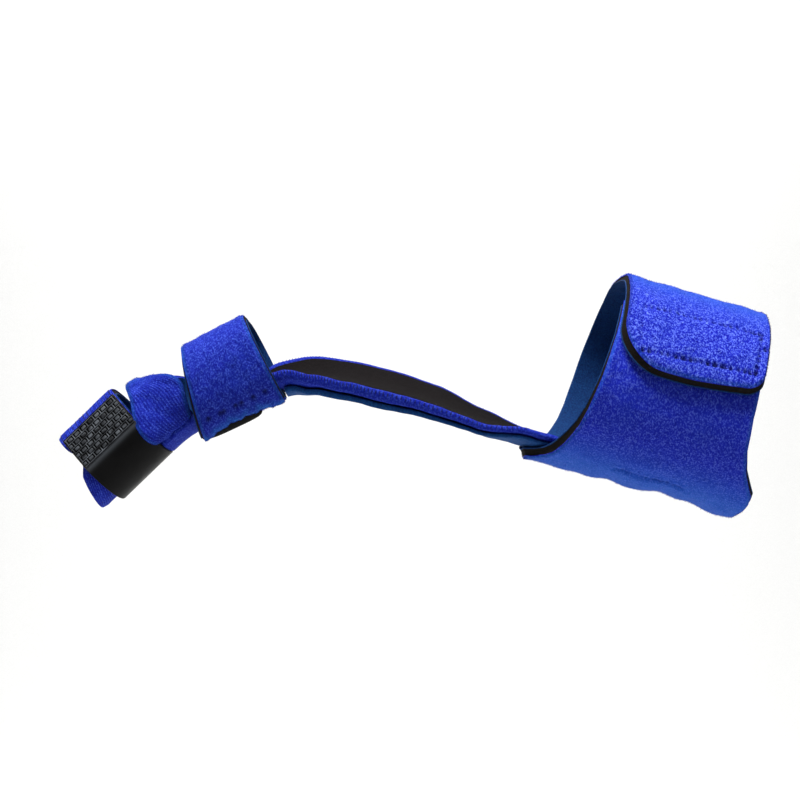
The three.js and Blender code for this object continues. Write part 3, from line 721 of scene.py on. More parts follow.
def cut_neoprene(name):
    """Cut edge of closed-cell neoprene foam: dull near-black with tiny open cells, each a little darker down
    in its pit with painted shade.
    """
    material, tree, place = new_material(name)
    cells = add_node(tree, "ShaderNodeTexVoronoi", {"Vector": place, "Scale": 1.0 / (0.35 * MM)})
    depth = cells.outputs["Distance"]
    # Painted shade, darker down in each cell's pit.
    colour = ramp(tree, depth, [(0.1, "#100e0d"), (0.8, "#1d1917")])
    finish_material(tree, colour, relief(tree, depth, 0.5, 0.12), roughness=0.9, specular_ior_level=0.1)
    return material


def jersey_lining(name):
    """Black nylon jersey on foam: fine even wales, slightly smooth, with a faint painted grey highlight on its
    ridges.
    """
    material, tree, place = new_material(name)
    wales = wave(tree, flat_place(tree), 0.8, "Y", distortion=0.8, detail=1.0)
    height = added(tree, wales, 0.5, noise(tree, place, 0.5, detail=3.0))
    # Painted highlight, a faint grey, on the ridges.
    colour = ramp(tree, height, [(0.3, "#0a0809"), (1.0, "#1a1718")])
    finish_material(tree, colour, relief(tree, height, 0.6, 0.15), roughness=0.95, specular_ior_level=0.04,
                    sheen_weight=0.01, sheen_roughness=0.5)
    return material


def hook_nylon(name):
    """Extruded nylon hook tape: black, a little glossy on each hook."""
    material, tree, place = new_material(name)
    grain = noise(tree, place, 0.8, detail=2.0)
    colour = ramp(tree, grain, [(0.3, "#040405"), (0.7, "#09090a")])
    finish_material(tree, colour, relief(tree, grain, 0.5, 0.1), roughness=0.8, specular_ior_level=0.03)
    return material


def sewing_thread(name, code):
    """Spun polyester sewing thread: matt, with the plies' twist as a fine slanting shade."""
    material, tree, place = new_material(name)
    ply = wave(tree, place, 0.35 * MM, "DIAGONAL", distortion=1.0)
    dark = tuple(0.45 * c for c in linear(code)[:3])
    colour = ramp(tree, ply, [(0.2, dark), (0.8, code)])
    finish_material(tree, colour, relief(tree, ply, 0.4, 0.06), roughness=0.75, specular_ior_level=0.3)
    return material


def moulded_abs(name):
    """Injection-moulded black ABS: satin, from a fine spark-eroded mould, with soft grey highlights. The
    grip's ribs and blocks and the crease carry a painted grey highlight, and its recesses painted shade."""
    material, tree, place = new_material(name)
    handled = noise(tree, place, 6.0, detail=3.0)
    colour = ramp(tree, handled, [(0.3, "#0b0b0c"), (0.7, "#111112")])
    # Painted grey highlight on the grip and the crease, then painted shade, nearly black, in the recesses.
    colour = blend(tree, field(tree, "faded"), colour, linear("#70757c"))
    colour = blend(tree, field(tree, "sunk"), colour, linear("#030303"))
    finish_material(tree, colour, relief(tree, noise(tree, place, 0.25, detail=3.0), 0.3, 0.03),
                    roughness=mapped(tree, handled, 0.3, 0.7, 0.42, 0.56), specular_ior_level=0.1)
    return material


def pale_paper(name):
    """Studio background paper: matt, white, with a barely visible tooth."""
    material, tree, place = new_material(name)
    colour = ramp(tree, noise(tree, place, 2.0, detail=2.0), [(0.3, "#f4f4f3"), (0.7, "#fafaf9")])
    finish_material(tree, colour, roughness=0.9, specular_ior_level=0.1)
    return material


# Cut edges, as rows from face to back: how far down (0 to 1), how far out and the finish of the strip above.
# Cut edge of the laminate: a thin lip of fabric, the foam's core, and the lip of the other fabric.
FOAM_RIM = {
    "rows": [(0.012, 0.12, 1), (0.05, 0.2, 1), (0.11, 0.17, 1), (0.15, 0.0, 2), (0.32, -0.04, 2),
             (0.5, -0.05, 2), (0.68, -0.04, 2), (0.85, 0.0, 2), (0.89, 0.16, 3), (0.95, 0.18, 3),
             (0.988, 0.1, 3)],
    "last": 3, "back": 4, "core": 2}
# Rounded edge of a piece that is sewn round its foam.
ROUND_RIM = {
    "rows": [(0.03, 0.22, 1), (0.14, 0.5, 1), (0.32, 0.68, 1), (0.5, 0.74, 1), (0.68, 0.68, 1),
             (0.86, 0.5, 1), (0.97, 0.22, 1)],
    "last": 1, "back": 2, "core": None}
ROUND_RIM_THIN = {
    "rows": [(0.1, 0.1, 1), (0.3, 0.2, 1), (0.5, 0.22, 1), (0.7, 0.2, 1), (0.9, 0.1, 1)],
    "last": 1, "back": 2, "core": None}


def edge_distance(face):
    """Distance in millimetres of each grid point from the nearest side of its grid."""
    rows, columns = face.shape[:2]
    step_u = np.linalg.norm(np.diff(face, axis=0), axis=2)
    step_v = np.linalg.norm(np.diff(face, axis=1), axis=2)
    along_u = np.vstack([np.zeros((1, columns)), np.cumsum(step_u, 0)])
    along_v = np.hstack([np.zeros((rows, 1)), np.cumsum(step_v, 1)])
    return (np.minimum(along_u, along_u[-1:] - along_u), np.minimum(along_v, along_v[:, -1:] - along_v))


class Stitch:
    """A line of stitches on a band: (turn, along) from and to, at a pitch, on a radius."""

    def __init__(self, start, stop, pitch, radius, thread=0.72, jitter=0.0, seed=1):
        self.radius = radius
        start, stop = np.array(start, float), np.array(stop, float)
        length = np.linalg.norm((stop - start) * [math.radians(radius), 1])
        count = max(1, round(length / pitch))
        middle = (np.arange(count) + 0.5) / count
        chance = np.random.default_rng(seed)
        middle = middle + chance.uniform(-jitter, jitter, count) / count
        self.pull = chance.uniform(0.4, 1, count)
        self.begin = start + (stop - start) * (middle - thread / 2 / count)[:, None]
        self.end = start + (stop - start) * (middle + thread / 2 / count)[:, None]

    def depth(self, turn, along, hole=1.1, hole_width=0.66, line=0.22, line_width=1.0):
        """How far the stitches pull the face in."""
        pulled = np.zeros(np.shape(turn))
        for spots, deep, wide in ((self.begin, hole, hole_width), (self.end, hole, hole_width),
                                  ((self.begin + self.end) / 2, line, line_width)):
            for (at, place), pull in zip(spots, self.pull):
                away = np.hypot((turn - at) * math.radians(self.radius), along - place)
                pulled = np.maximum(pulled, pull * deep * bump(away, wide))
        return pulled

    def paths(self, surface, low=-0.75, high=0.02, steps=7):
        """Thread paths over the face: surface(turn, along, height)."""
        share = np.linspace(0, 1, steps)
        place = self.begin[:, None] + (self.end - self.begin)[:, None] * share[None, :, None]
        height = low + (high - low) * np.sin(math.pi * share) ** 0.6
        return surface(place[..., 0], place[..., 1], np.broadcast_to(height, place.shape[:2]))


def settings():
    return bpy.context.scene.splint


def finish_piece(thing, slot, *nodes):
    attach(thing, "root")
    if nodes:
        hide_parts(*nodes)
    return thing


def thread_piece(name, paths, radius, material, slot):
    points, quads = tubes(np.concatenate(paths), radius)
    return finish_piece(make_mesh(name, points, quads, np.zeros(len(quads)), [material]), slot)


# Depth of a fibre's root under the face, and its radius there.
FIBRE_ROOT, FIBRE_RADIUS = 0.12, 0.05


def pile_fibres(name, face, fields, count, material, slot, seed, size=(0.3, 0.65)):
    """Loose fibre ends that stand off a fabric's face: slim closed needles, more of them near its edges."""
    rows, columns = face.shape[:2]
    chance = np.random.default_rng(seed)
    weight = (0.35 + 1.6 * bump(np.minimum(*edge_distance(face)), 1.0)) * (0.5 + fields["brushed"])
    weight = weight * (np.linalg.norm(np.gradient(face, axis=1), axis=2)
                       * np.linalg.norm(np.gradient(face, axis=0), axis=2))
    picked = chance.choice(rows * columns, count, p=(weight / weight.sum()).ravel())
    i, j = np.clip(picked // columns, 0, rows - 2), np.clip(picked % columns, 0, columns - 2)
    s, r = chance.uniform(0, 1, (count, 1)), chance.uniform(0, 1, (count, 1))
    side_u, side_v = face[i + 1, j] - face[i, j], face[i, j + 1] - face[i, j]
    root = face[i, j] + side_u * s + side_v * r
    normal = direction(np.cross(side_u, side_v))
    middle = face.reshape(-1, 3).mean(0)
    if np.mean(np.einsum("ij,ij->i", normal, root - middle)) < 0:
        normal = -normal
    lean = direction(normal + 0.75 * chance.normal(size=(count, 3)) + [0, 0, -0.25])
    tip = root + lean * chance.uniform(*size, (count, 1))
    first = direction(np.cross(lean, chance.normal(size=(count, 3))))
    second = np.cross(lean, first)
    corners = [root - normal * FIBRE_ROOT + FIBRE_RADIUS * (first * math.cos(a) + second * math.sin(a))
               for a in (0, 2.1, 4.2)]
    points = np.stack([*corners, tip], 1).reshape(-1, 3)
    base = np.arange(count)[:, None] * 4
    faces = np.stack([base + k for k in ([0, 1, 3], [1, 2, 3], [2, 0, 3], [2, 1, 0])], 1).reshape(-1, 3)
    # Fibres take the light as the face under them does, and only break its outline and colour.
    shading = direction(np.repeat(normal + 0.25 * lean, 4, 0))
    chosen = {"brushed": np.repeat(0.4 + 0.6 * chance.uniform(0, 1, count), 4)}
    needles = make_mesh(name, points, faces, np.zeros(len(faces)), [material], None, chosen, shading)
    return finish_piece(needles, slot)


def laminate_piece(name, slot, node, skins, rim, finishes, fields=None, ring=False):
    """Laminate between a face and a back, in the finishes of its face, edge and back, for a node."""
    points, quads, kinds, flat = laminate(*skins, rim, ring)
    thing = make_mesh(name, points, quads, kinds, [finish(kind) for kind in finishes], flat, fields)
    return finish_piece(thing, slot, node)


def foam_core(cover):
    return (cover, cover, "foam", "shaded_loop", "shaded_loop")


MATERIALS = {}


def finish(name):
    """Each finish is made once."""
    if name not in MATERIALS:
        dyes, loop = settings().colours, settings().looks.loop_size / MM

        def dyed(part):
            return getattr(dyes, part + "_shade"), getattr(dyes, part), getattr(dyes, part + "_tip")
        makers = {
            "blue_loop": lambda: brushed_loop("brushed_loop_nylon_blue", dyed("pile"), loop),
            # The cuff's fabric, darkened as painted shade for the straps.
            "strap_loop_painted_shade": lambda: brushed_loop("brushed_loop_nylon_strap", dyed("strap"), loop),
            "shaded_loop": lambda: brushed_loop(
                "brushed_loop_nylon_inside", ("#0a1f4a", "#12366e", "#1d5590"), loop, "#123a6a"),
            "dark_loop": lambda: brushed_loop(
                "brushed_loop_nylon_dark", ("#0a2048", "#123f7c", "#1f62a8"), loop, "#12407a"),
            "knit": lambda: knitted_loop("knitted_nylon_blue", dyed("knit")),
            "foam": lambda: cut_neoprene("cut_neoprene_black"),
            "lining": lambda: jersey_lining("nylon_jersey_black"),
            "hook": lambda: hook_nylon("hook_nylon_black"),
            "thread": lambda: sewing_thread("polyester_thread_blue", "#1c1fa8"),
            "overlock": lambda: sewing_thread("polyester_thread_navy", "#0d1254"),
            "abs": lambda: moulded_abs("moulded_abs_black"),
            "paper": lambda: pale_paper("background_paper"),
        }
        MATERIALS[name] = makers[name]()
    return MATERIALS[name]


# Wrist cuff.

def tab_stitches(pitch):
    """Stitch box that holds the hook patch, and the short row that runs off the tab's rear side."""
    corners = [(406, -12.2), (402.6, 22.6), (428.4, 22.2), (432.6, -11.0)]
    lines = [*zip(corners, corners[1:]), (corners[3], (409, -12.4)), ((413.2, 22.8), (412.6, 25.4))]
    return [Stitch(a, b, pitch, CUFF_RADIUS, thread=0.6, jitter=0.3, seed=seed)
            for seed, (a, b) in enumerate(lines, 1)]


def seam_stitch():
    return Stitch((148.2, -6.5), (149.4, 14.0), 2.2, WRIST_HALF_DEPTH + CUFF_WALL, jitter=0.25, seed=9)


def pucker(turn, along):
    """Short sewn pucker low on the near side: a groove with a raised lip above it."""
    middle = 148.5 + 0.9 * np.sin(along * 0.55)
    away = (turn - middle) * math.radians(WRIST_HALF_DEPTH + CUFF_WALL)
    here = eased(along, -9, -4) * (1 - eased(along, 12, 17)) * (0.75 + 0.35 * np.sin(1.9 * along + 0.4))
    lips = 0.7 * bump(away + 1.7, 1.2) + 0.25 * bump(away - 2.2, 1.2)
    return here * (0.95 * bump(away - 0.2, 0.75) - lips)


# Grids of the pieces: rows round and columns across. The fibres are the loose ones on a face.
CUFF_GRID, PATCH_GRID = (356, 112), (40, 60)
CUFF_FIBRES = 34000
# Depth of the threads' middle in the face, on the tab and in the seam.
TAB_THREAD_DEPTH, SEAM_THREAD_DEPTH = 0.42, 0.95
# Hooks of the tape: height of the base over their tips, and each one's run and height from root to tip.
HOOK_HEIGHT = 0.55
HOOK_SHAPE = np.array([(0.0, 0.05, 0.2, 0.5, 0.75), (0.7, 0.45, 0.2, 0.04, 0.1)])
# Step of the hooks round (degrees) and along, and their radius.
HOOK_STEP, HOOK_PITCH, HOOK_RADIUS = 2.3, 1.25, 0.13
# Bevel of the cuff's cut edge: how far the blue face stops short of the back, by turn, at the front and at
# the rear, so the black foam shows.
FRONT_CUT = np.array([(34, 0.4), (70, 0.55), (110, 1.1), (140, 2), (170, 1.8), (230, 1),
                      (300, 0.5), (380, 0.8), (400, 1.15), (443, 1.4)])
REAR_CUT = np.array([(34, 0.3), (100, 0.35), (150, 0.6), (200, 0.4), (300, 0.3), (395, 0.15), (443, 0.5)])
CUT_AT_END = 1.9


def cuff_grids():
    """Grids of the cuff's face and back, and the face's fields."""
    rows, columns = CUFF_GRID
    across = crowded(columns, 0.45)[None, :]
    way = np.linspace(0, 1, rows)[:, None]
    back_turn = CUFF_START_TURN + (tab_end(across) - CUFF_START_TURN) * way
    low, high = cuff_edges(back_turn)
    back_along = low + (high - low) * across
    turn = back_turn - np.degrees(CUT_AT_END / CUFF_RADIUS) * eased(way, 0.93, 1)
    low = low + np.interp(turn, FRONT_CUT[:, 0], FRONT_CUT[:, 1])
    high = high - np.interp(turn, REAR_CUT[:, 0], REAR_CUT[:, 1])
    along = low + (high - low) * across
    base = cuff_point(turn, along, CUFF_WALL)
    away = np.minimum(*edge_distance(base))
    stitched = [line.depth(turn, along) for line in tab_stitches(settings().sizes.stitch_pitch / MM)]
    stitched[3] = 0.35 * stitched[3]
    sunk = np.max(stitched, 0)
    seam = seam_stitch().depth(turn, along, 0.7, 0.7, 0.3, 1.0)
    # Painted shade, nearly black, down in the tab's stitch holes and in the seam's.
    dark = np.clip(1.5 * np.maximum(sunk - 0.2, 0.8 * seam - 0.15), 0, 0.8)
    sunk = sunk + pucker(turn, along) + 0.4 * seam
    sunk = sunk + 0.3 * near_edge(away, 0.9) - 0.1 * bump(away - 1.5, 0.9)
    swell = 0.13 * soft_noise(base, 11, 3) + 0.06 * soft_noise(base, 4, 4)
    swell = swell + 0.035 * soft_noise(base, 1.3, 6, 24)
    face = cuff_point(turn, along, CUFF_WALL - sunk + swell)
    back = cuff_point(back_turn, back_along, 0.05 * soft_noise(base, 5, 8) + 0.2 * near_edge(away, 1.0))
    on_tab = eased(turn, 372, 400)
    # Paler towards the cut edges, with painted bounce light low on the near side and underneath, and a painted
    # highlight along the top where the tab begins.
    painted_bounce_light = eased(turn, 118, 160) * (1 - eased(turn, 200, 240))
    faded = 0.35 * near_edge(away, 1.2) + 0.45 * painted_bounce_light + 0.28 * bump(turn - 372, 16)
    # The speckle is strongest on the tab, as painted sparkle where the light falls on it.
    return face, back, {"brushed": 0.5 + 0.5 * on_tab, "sunk": dark, "faded": np.clip(faded, 0, 0.6)}


class SPLINT_OT_wrist_cuff(bpy.types.Operator):
    """Builds the cuff's laminate, its stitching and the hook patch under the tab"""
    bl_idname = "splint.wrist_cuff"
    bl_label = "Wrist cuff"

    def execute(self, context):
        face, back, fields = cuff_grids()
        cuff = laminate_piece("cuff_laminate", "brushed_loop_fabric", "wrist_cuff", (face, back), FOAM_RIM,
                              foam_core("blue_loop"), fields)
        pile_fibres("cuff_pile", face, fields, CUFF_FIBRES, finish("blue_loop"), "brushed_loop_fabric", 61)
        self.stitches()
        self.patch()
        return {"FINISHED"}

    def stitches(self):
        sizes = settings().sizes
        tab = [line.paths(lambda t, a, h: cuff_point(t, a, CUFF_WALL + h - TAB_THREAD_DEPTH))
               for line in tab_stitches(sizes.stitch_pitch / MM)]
        tab.append(seam_stitch().paths(lambda t, a, h: cuff_point(t, a, CUFF_WALL + h - SEAM_THREAD_DEPTH)))
        thread_piece("cuff_stitches", tab, sizes.thread_radius / MM, finish("thread"), "brushed_loop_fabric")

    def patch(self):
        """Hook tape: its woven base and rows of small bent hooks that stand towards the cuff."""
        rows, columns = PATCH_GRID
        turn = np.linspace(PATCH_START_TURN, PATCH_END_TURN, rows)[:, None]
        along = np.linspace(-PATCH_TO_HAND, PATCH_TO_ELBOW, columns)[None, :]
        turn, along = np.broadcast_arrays(turn, along)

        def place(t, a, h):
            return cuff_ring(t, a, CUFF_WALL + GAP + h - cuff_dent(t - 360, a))
        points, quads, _, _ = laminate(place(turn, along, PATCH_THICKNESS), place(turn, along, HOOK_HEIGHT),
                                       ROUND_RIM_THIN)
        hooks = [place(np.full(5, t), a + HOOK_SHAPE[0], HOOK_SHAPE[1])
                 for t in np.arange(PATCH_START_TURN + 1.5, PATCH_END_TURN - 1, HOOK_STEP)
                 for a in np.arange(-PATCH_TO_HAND + 0.8, PATCH_TO_ELBOW - 0.6, HOOK_PITCH)]
        hook_points, hook_quads = tubes(hooks, HOOK_RADIUS, 5)
        hook_quads = [[i + len(points) for i in quad] for quad in hook_quads]
        patch = make_mesh("hook_patch", np.vstack([points, hook_points]), quads.tolist() + hook_quads,
                          np.zeros(len(quads) + len(hook_quads)), [finish("hook")])
        finish_piece(patch, "hook_tape", "cuff_hook_patch")


# Palm strap.

STRAP_ROWS, BACKING_ROWS = 330, 260
SLEEVE_COLUMNS, LAYER_COLUMNS = 52, 40
OVERLOCK_RADIUS = 0.12


def strap_layer(shares, columns, below, thickness, inset, puff, thinning=EDGE_THINNING, lip=0.0):
    """Upper face and back of one layer of the strap, with soft padding between its seams."""
    across = 2 * crowded(columns, 0.5) - 1

    def rise(part):
        def height(thick, at):
            bulk = thickness * thick * (1 - thinning * at ** 4) + lip * thick * eased(np.abs(at), 0.86, 0.95)
            return below(thick) + bulk * part
        return height
    face, back = (strap_points(shares, across, rise(part), inset) for part in (1, 0))
    thick = direction(face - back)
    swell = puff * (0.6 * soft_noise(face, 7, 12) + 0.4 * soft_noise(face, 3, 13))
    return face + thick * swell[..., None], back - thick * (puff * soft_noise(back, 6, 14))[..., None]


class SPLINT_OT_palm_strap(bpy.types.Operator):
    """Builds the palm strap's lining, padded sleeve, backing and edge stitching"""
    bl_idname = "splint.palm_strap"
    bl_label = "Palm strap"

    def execute(self, context):
        shares = np.linspace(0, 1, STRAP_ROWS)
        skins = strap_layer(shares, SLEEVE_COLUMNS, lambda thick: 0.0 * thick, SLEEVE_THICKNESS, 0.5, 0.07,
                            0.12, 1.0)
        sleeve = laminate_piece("palm_padding", "brushed_loop_fabric", "palm_sleeve", skins, ROUND_RIM,
                                ("strap_loop_painted_shade",) * 3)
        skins = strap_layer(shares, LAYER_COLUMNS, lambda thick: SLEEVE_THICKNESS * thick + GAP,
                            LINING_THICKNESS, 1.75, 0.03)
        lining = laminate_piece("palm_jersey", "foam_lining", "palm_lining", skins, ROUND_RIM_THIN,
                                ("lining",) * 3)
        last = share_at_run(PROXIMAL_EDGES[0][0] - BACKING_SETBACK / STRAP_RUN)
        shares = np.linspace(0, last, BACKING_ROWS)
        run = (MOUTH[0] - strap_at(shares)[0][:, :1]) / STRAP_RUN
        inset = BACKING_INSET + 0.25 + 1.4 * eased(run, 0.42, 0.62)
        soft = BACKING_THICKNESS + 0.7
        skins = strap_layer(shares, LAYER_COLUMNS, lambda thick: -GAP - soft * thick, soft, inset, 0.08, 0.2)
        backing = laminate_piece("palm_underlayer", "dark_loop_fabric", "palm_backing", skins,
                                 ROUND_RIM_THIN, ("dark_loop",) * 3)
        self.edge_stitches()
        return {"FINISHED"}

    def edge_stitches(self):
        """Overlock threads that wrap the sleeve's two long edges."""
        count = int(STRAP_RUN * 1.03 / (settings().sizes.overlock_pitch / MM))
        centre, up, values = strap_at(np.linspace(share_at_run(0.01), share_at_run(1.0), count))
        angle = np.linspace(0.15, 1.2, 6)
        paths = []
        for side in (-1, 1):
            for place, over, (sag, roll, width, thick) in zip(centre, up, values):
                out = width / 2 - 0.5 + 0.78 * np.cos(angle)
                top = (SLEEVE_THICKNESS * 0.88 + 1.0) * thick
                rise = sag + top / 2 + (top / 2 - 0.13) * np.sin(angle)
                lean = math.radians(roll)
                lateral = side * out * math.cos(lean) + rise * math.sin(lean)
                upward = rise * math.cos(lean) - side * out * math.sin(lean)
                paths.append(place + SIDE * lateral[:, None] + over * upward[:, None])
        thread_piece("palm_edge_stitches", [np.array(paths)], OVERLOCK_RADIUS, finish("overlock"),
                     "brushed_loop_fabric")


# Finger straps.

PROXIMAL_GRID, HOOK_TAB_GRID, DISTAL_GRID = (210, 60), (50, 40), (170, 50)
PROXIMAL_FIBRES, DISTAL_FIBRES = 9000, 5000
# The proximal strap's row of stitches near its end: turn, pitch and the band's radius there.
PROXIMAL_STITCH_TURN, PROXIMAL_STITCH_PITCH, PROXIMAL_RADIUS = 120, 4.4, 14.5
# The distal strap's fold: the turn of its middle, and how far it lifts the face and the back.
FOLD_TURN, FOLD_FACE, FOLD_BACK = 104, 2.9, 4.1


class SPLINT_OT_finger_straps(bpy.types.Operator):
    """Builds the two finger straps, their stitches and the hook tab"""
    bl_idname = "splint.finger_straps"
    bl_label = "Finger straps"

    def execute(self, context):
        self.proximal()
        self.hook_tab()
        self.distal()
        return {"FINISHED"}

    def proximal(self):
        rows, columns = PROXIMAL_GRID
        across = np.linspace(0, 1, columns)[None, :]
        end = PROXIMAL_END_TURN + 7 * bump(across, 0.16) + 5 * bump(across - 1, 0.14)
        end = end - 3 * bump(across - 0.45, 0.3) + 0.9 * np.sin(across * 31) + 0.5 * np.sin(across * 67 + 1)
        turn = PROXIMAL_START_TURN + (end - PROXIMAL_START_TURN) * np.linspace(0, 1, rows)[:, None]
        whole = np.broadcast_to(across, turn.shape)
        tip_cut = (0.35 + 0.75 * eased(turn, 30, 110)) / PROXIMAL_WIDTH
        along = tip_cut + (1 - tip_cut - 0.5 / PROXIMAL_WIDTH) * whole
        base = proximal_point(turn, along, STRAP_WALL)
        away = np.minimum(*edge_distance(base))
        line = Stitch((PROXIMAL_STITCH_TURN, 0.1), (PROXIMAL_STITCH_TURN, 0.92),
                      PROXIMAL_STITCH_PITCH / PROXIMAL_WIDTH, PROXIMAL_RADIUS, jitter=0.25, seed=21)
        sunk = np.zeros(turn.shape)
        for at, place in np.concatenate([line.begin, line.end]):
            far = np.hypot((turn - at) * math.radians(PROXIMAL_RADIUS), (along - place) * PROXIMAL_WIDTH)
            sunk = np.maximum(sunk, 0.75 * bump(far, 0.72))
        # Painted shade down in the stitch holes.
        fields = {"sunk": np.clip(1.2 * sunk - 0.1, 0, 0.85), "brushed": np.full(turn.shape, 0.62)}
        frayed = near_edge((end - turn) * math.radians(PROXIMAL_RADIUS), 3.5)
        faded = 0.5 * frayed * (0.7 + 0.3 * soft_noise(base, 3, 25))
        fields["faded"] = np.clip(faded + 0.35 * near_edge(away, 1.0), 0, 0.65)
        sunk = sunk + 0.3 * near_edge(away, 1.0) - 0.1 * bump(away - 1.4, 0.8)
        swell = 0.1 * soft_noise(base, 6, 23) + 0.05 * soft_noise(base, 2.5, 24)
        face = proximal_point(turn, along, STRAP_WALL - sunk + swell)
        back = proximal_point(turn, whole, 0.15 * near_edge(away, 1.0))
        strap = laminate_piece("proximal_strap_laminate", "brushed_loop_fabric", "proximal_finger_strap",
                               (face, back), FOAM_RIM, foam_core("strap_loop_painted_shade"), fields)
        pile_fibres("proximal_strap_pile", face, fields, PROXIMAL_FIBRES, finish("strap_loop_painted_shade"),
                    "brushed_loop_fabric", 62)

    def hook_tab(self):
        rows, columns = HOOK_TAB_GRID
        across = crowded(columns, 0.3)[None, :]
        along = (PROXIMAL_WIDTH - HOOK_TAB_OFFSET + HOOK_TAB_WIDTH * (across - 0.5)) / PROXIMAL_WIDTH
        from_tip = across * HOOK_TAB_WIDTH
        drop = sum(corner_drop(HOOK_TAB_CORNER, away) for away in (from_tip, HOOK_TAB_WIDTH - from_tip))
        end = HOOK_TAB_END_TURN - np.degrees(drop / (PROXIMAL_HALF_HEIGHT + STRAP_WALL))
        turn = HOOK_TAB_START_TURN + (end - HOOK_TAB_START_TURN) * np.linspace(0, 1, rows)[:, None]
        along = np.broadcast_to(along, turn.shape)
        skins = [ring_point(PROXIMAL_RING, turn, along, STRAP_WALL + GAP + height)
                 for height in (HOOK_TAB_THICKNESS, 0.0)]
        laminate_piece("hook_tongue", "hook_tape", "proximal_hook_tab", skins, ROUND_RIM_THIN, ("hook",) * 3)

    def distal(self):
        """Knitted strap whose lower near side bulges and folds out over the guard's edge."""
        rows, columns = DISTAL_GRID
        turn = np.linspace(DISTAL_START_TURN, DISTAL_END_TURN, rows)[:, None]
        across = np.linspace(0, 1, columns)[None, :]
        grown = eased(np.abs(turn), DISTAL_TOP_TURN, DISTAL_FULL_TURN)
        along = across * (DISTAL_TOP_SHARE + (1 - DISTAL_TOP_SHARE) * grown)
        along = along - 0.28 * bump(turn - FOLD_TURN, 25) * (1 - across) ** 2
        turn = np.broadcast_to(turn, along.shape)
        base = distal_point(turn, along, STRAP_WALL)
        away_u, away_v = edge_distance(base)
        away = np.minimum(away_u, away_v)
        fold = bump(turn - FOLD_TURN, 27) * bump(across, 0.3)
        swell = 0.22 * soft_noise(base, 6, 33) + 0.08 * soft_noise(base, 2.5, 34)
        swell = swell - 0.4 * near_edge(away, 1.3) + FOLD_FACE * fold
        swell = swell + 0.5 * bump(turn - 142, 20) * eased(across, 0.0, 0.3)
        droop = (bump(turn - 114, 27) * (3.9 - 1.4 * across))[..., None] * DISTAL_RING[0](along)[1]
        # Paler towards the ring's top and along its side edges.
        top = 0.35 * bump(turn, 26) + 0.35 * near_edge(away_v, 1.4)
        fields = {"brushed": np.full(turn.shape, 0.7), "faded": np.clip(top, 0, 0.6)}
        face = distal_point(turn, along, STRAP_WALL + swell) - droop
        back = distal_point(turn, along, 0.15 * near_edge(away, 1.0) + FOLD_BACK * fold) - droop
        finishes = ("knit", "knit", "knit", "shaded_loop", "shaded_loop")
        strap = laminate_piece("distal_strap_knit", "knitted_loop_fabric", "distal_finger_strap",
                               (face, back), FOAM_RIM, finishes, fields)
        pile_fibres("distal_strap_pile", face, fields, DISTAL_FIBRES, finish("knit"),
                    "knitted_loop_fabric", 63, (0.25, 0.6))


# Fingertip.

LOOP_COLUMNS, GUARD_STEPS = 50, 135
LOOP_STITCH_PITCH, LOOP_THREAD_RADIUS = 1.5, 0.13
# Steps on the straights of the loop's and of the guard's section.
LOOP_LINES = [16, 20, 12, 8, 16]
GUARD_LINES = [4, 96, 60, 30, 4]
# The grip's cells: how deep, and where a block's top ends and its foot begins from its middle.
CELL_DEPTH = 0.35
BLOCK_SIDE, BLOCK_END = (0.46, 0.62), (0.7, 0.9)


def tip_grid(section, distance):
    return tip_point(np.broadcast_to(section[:, None], distance.shape + (2,)), distance)


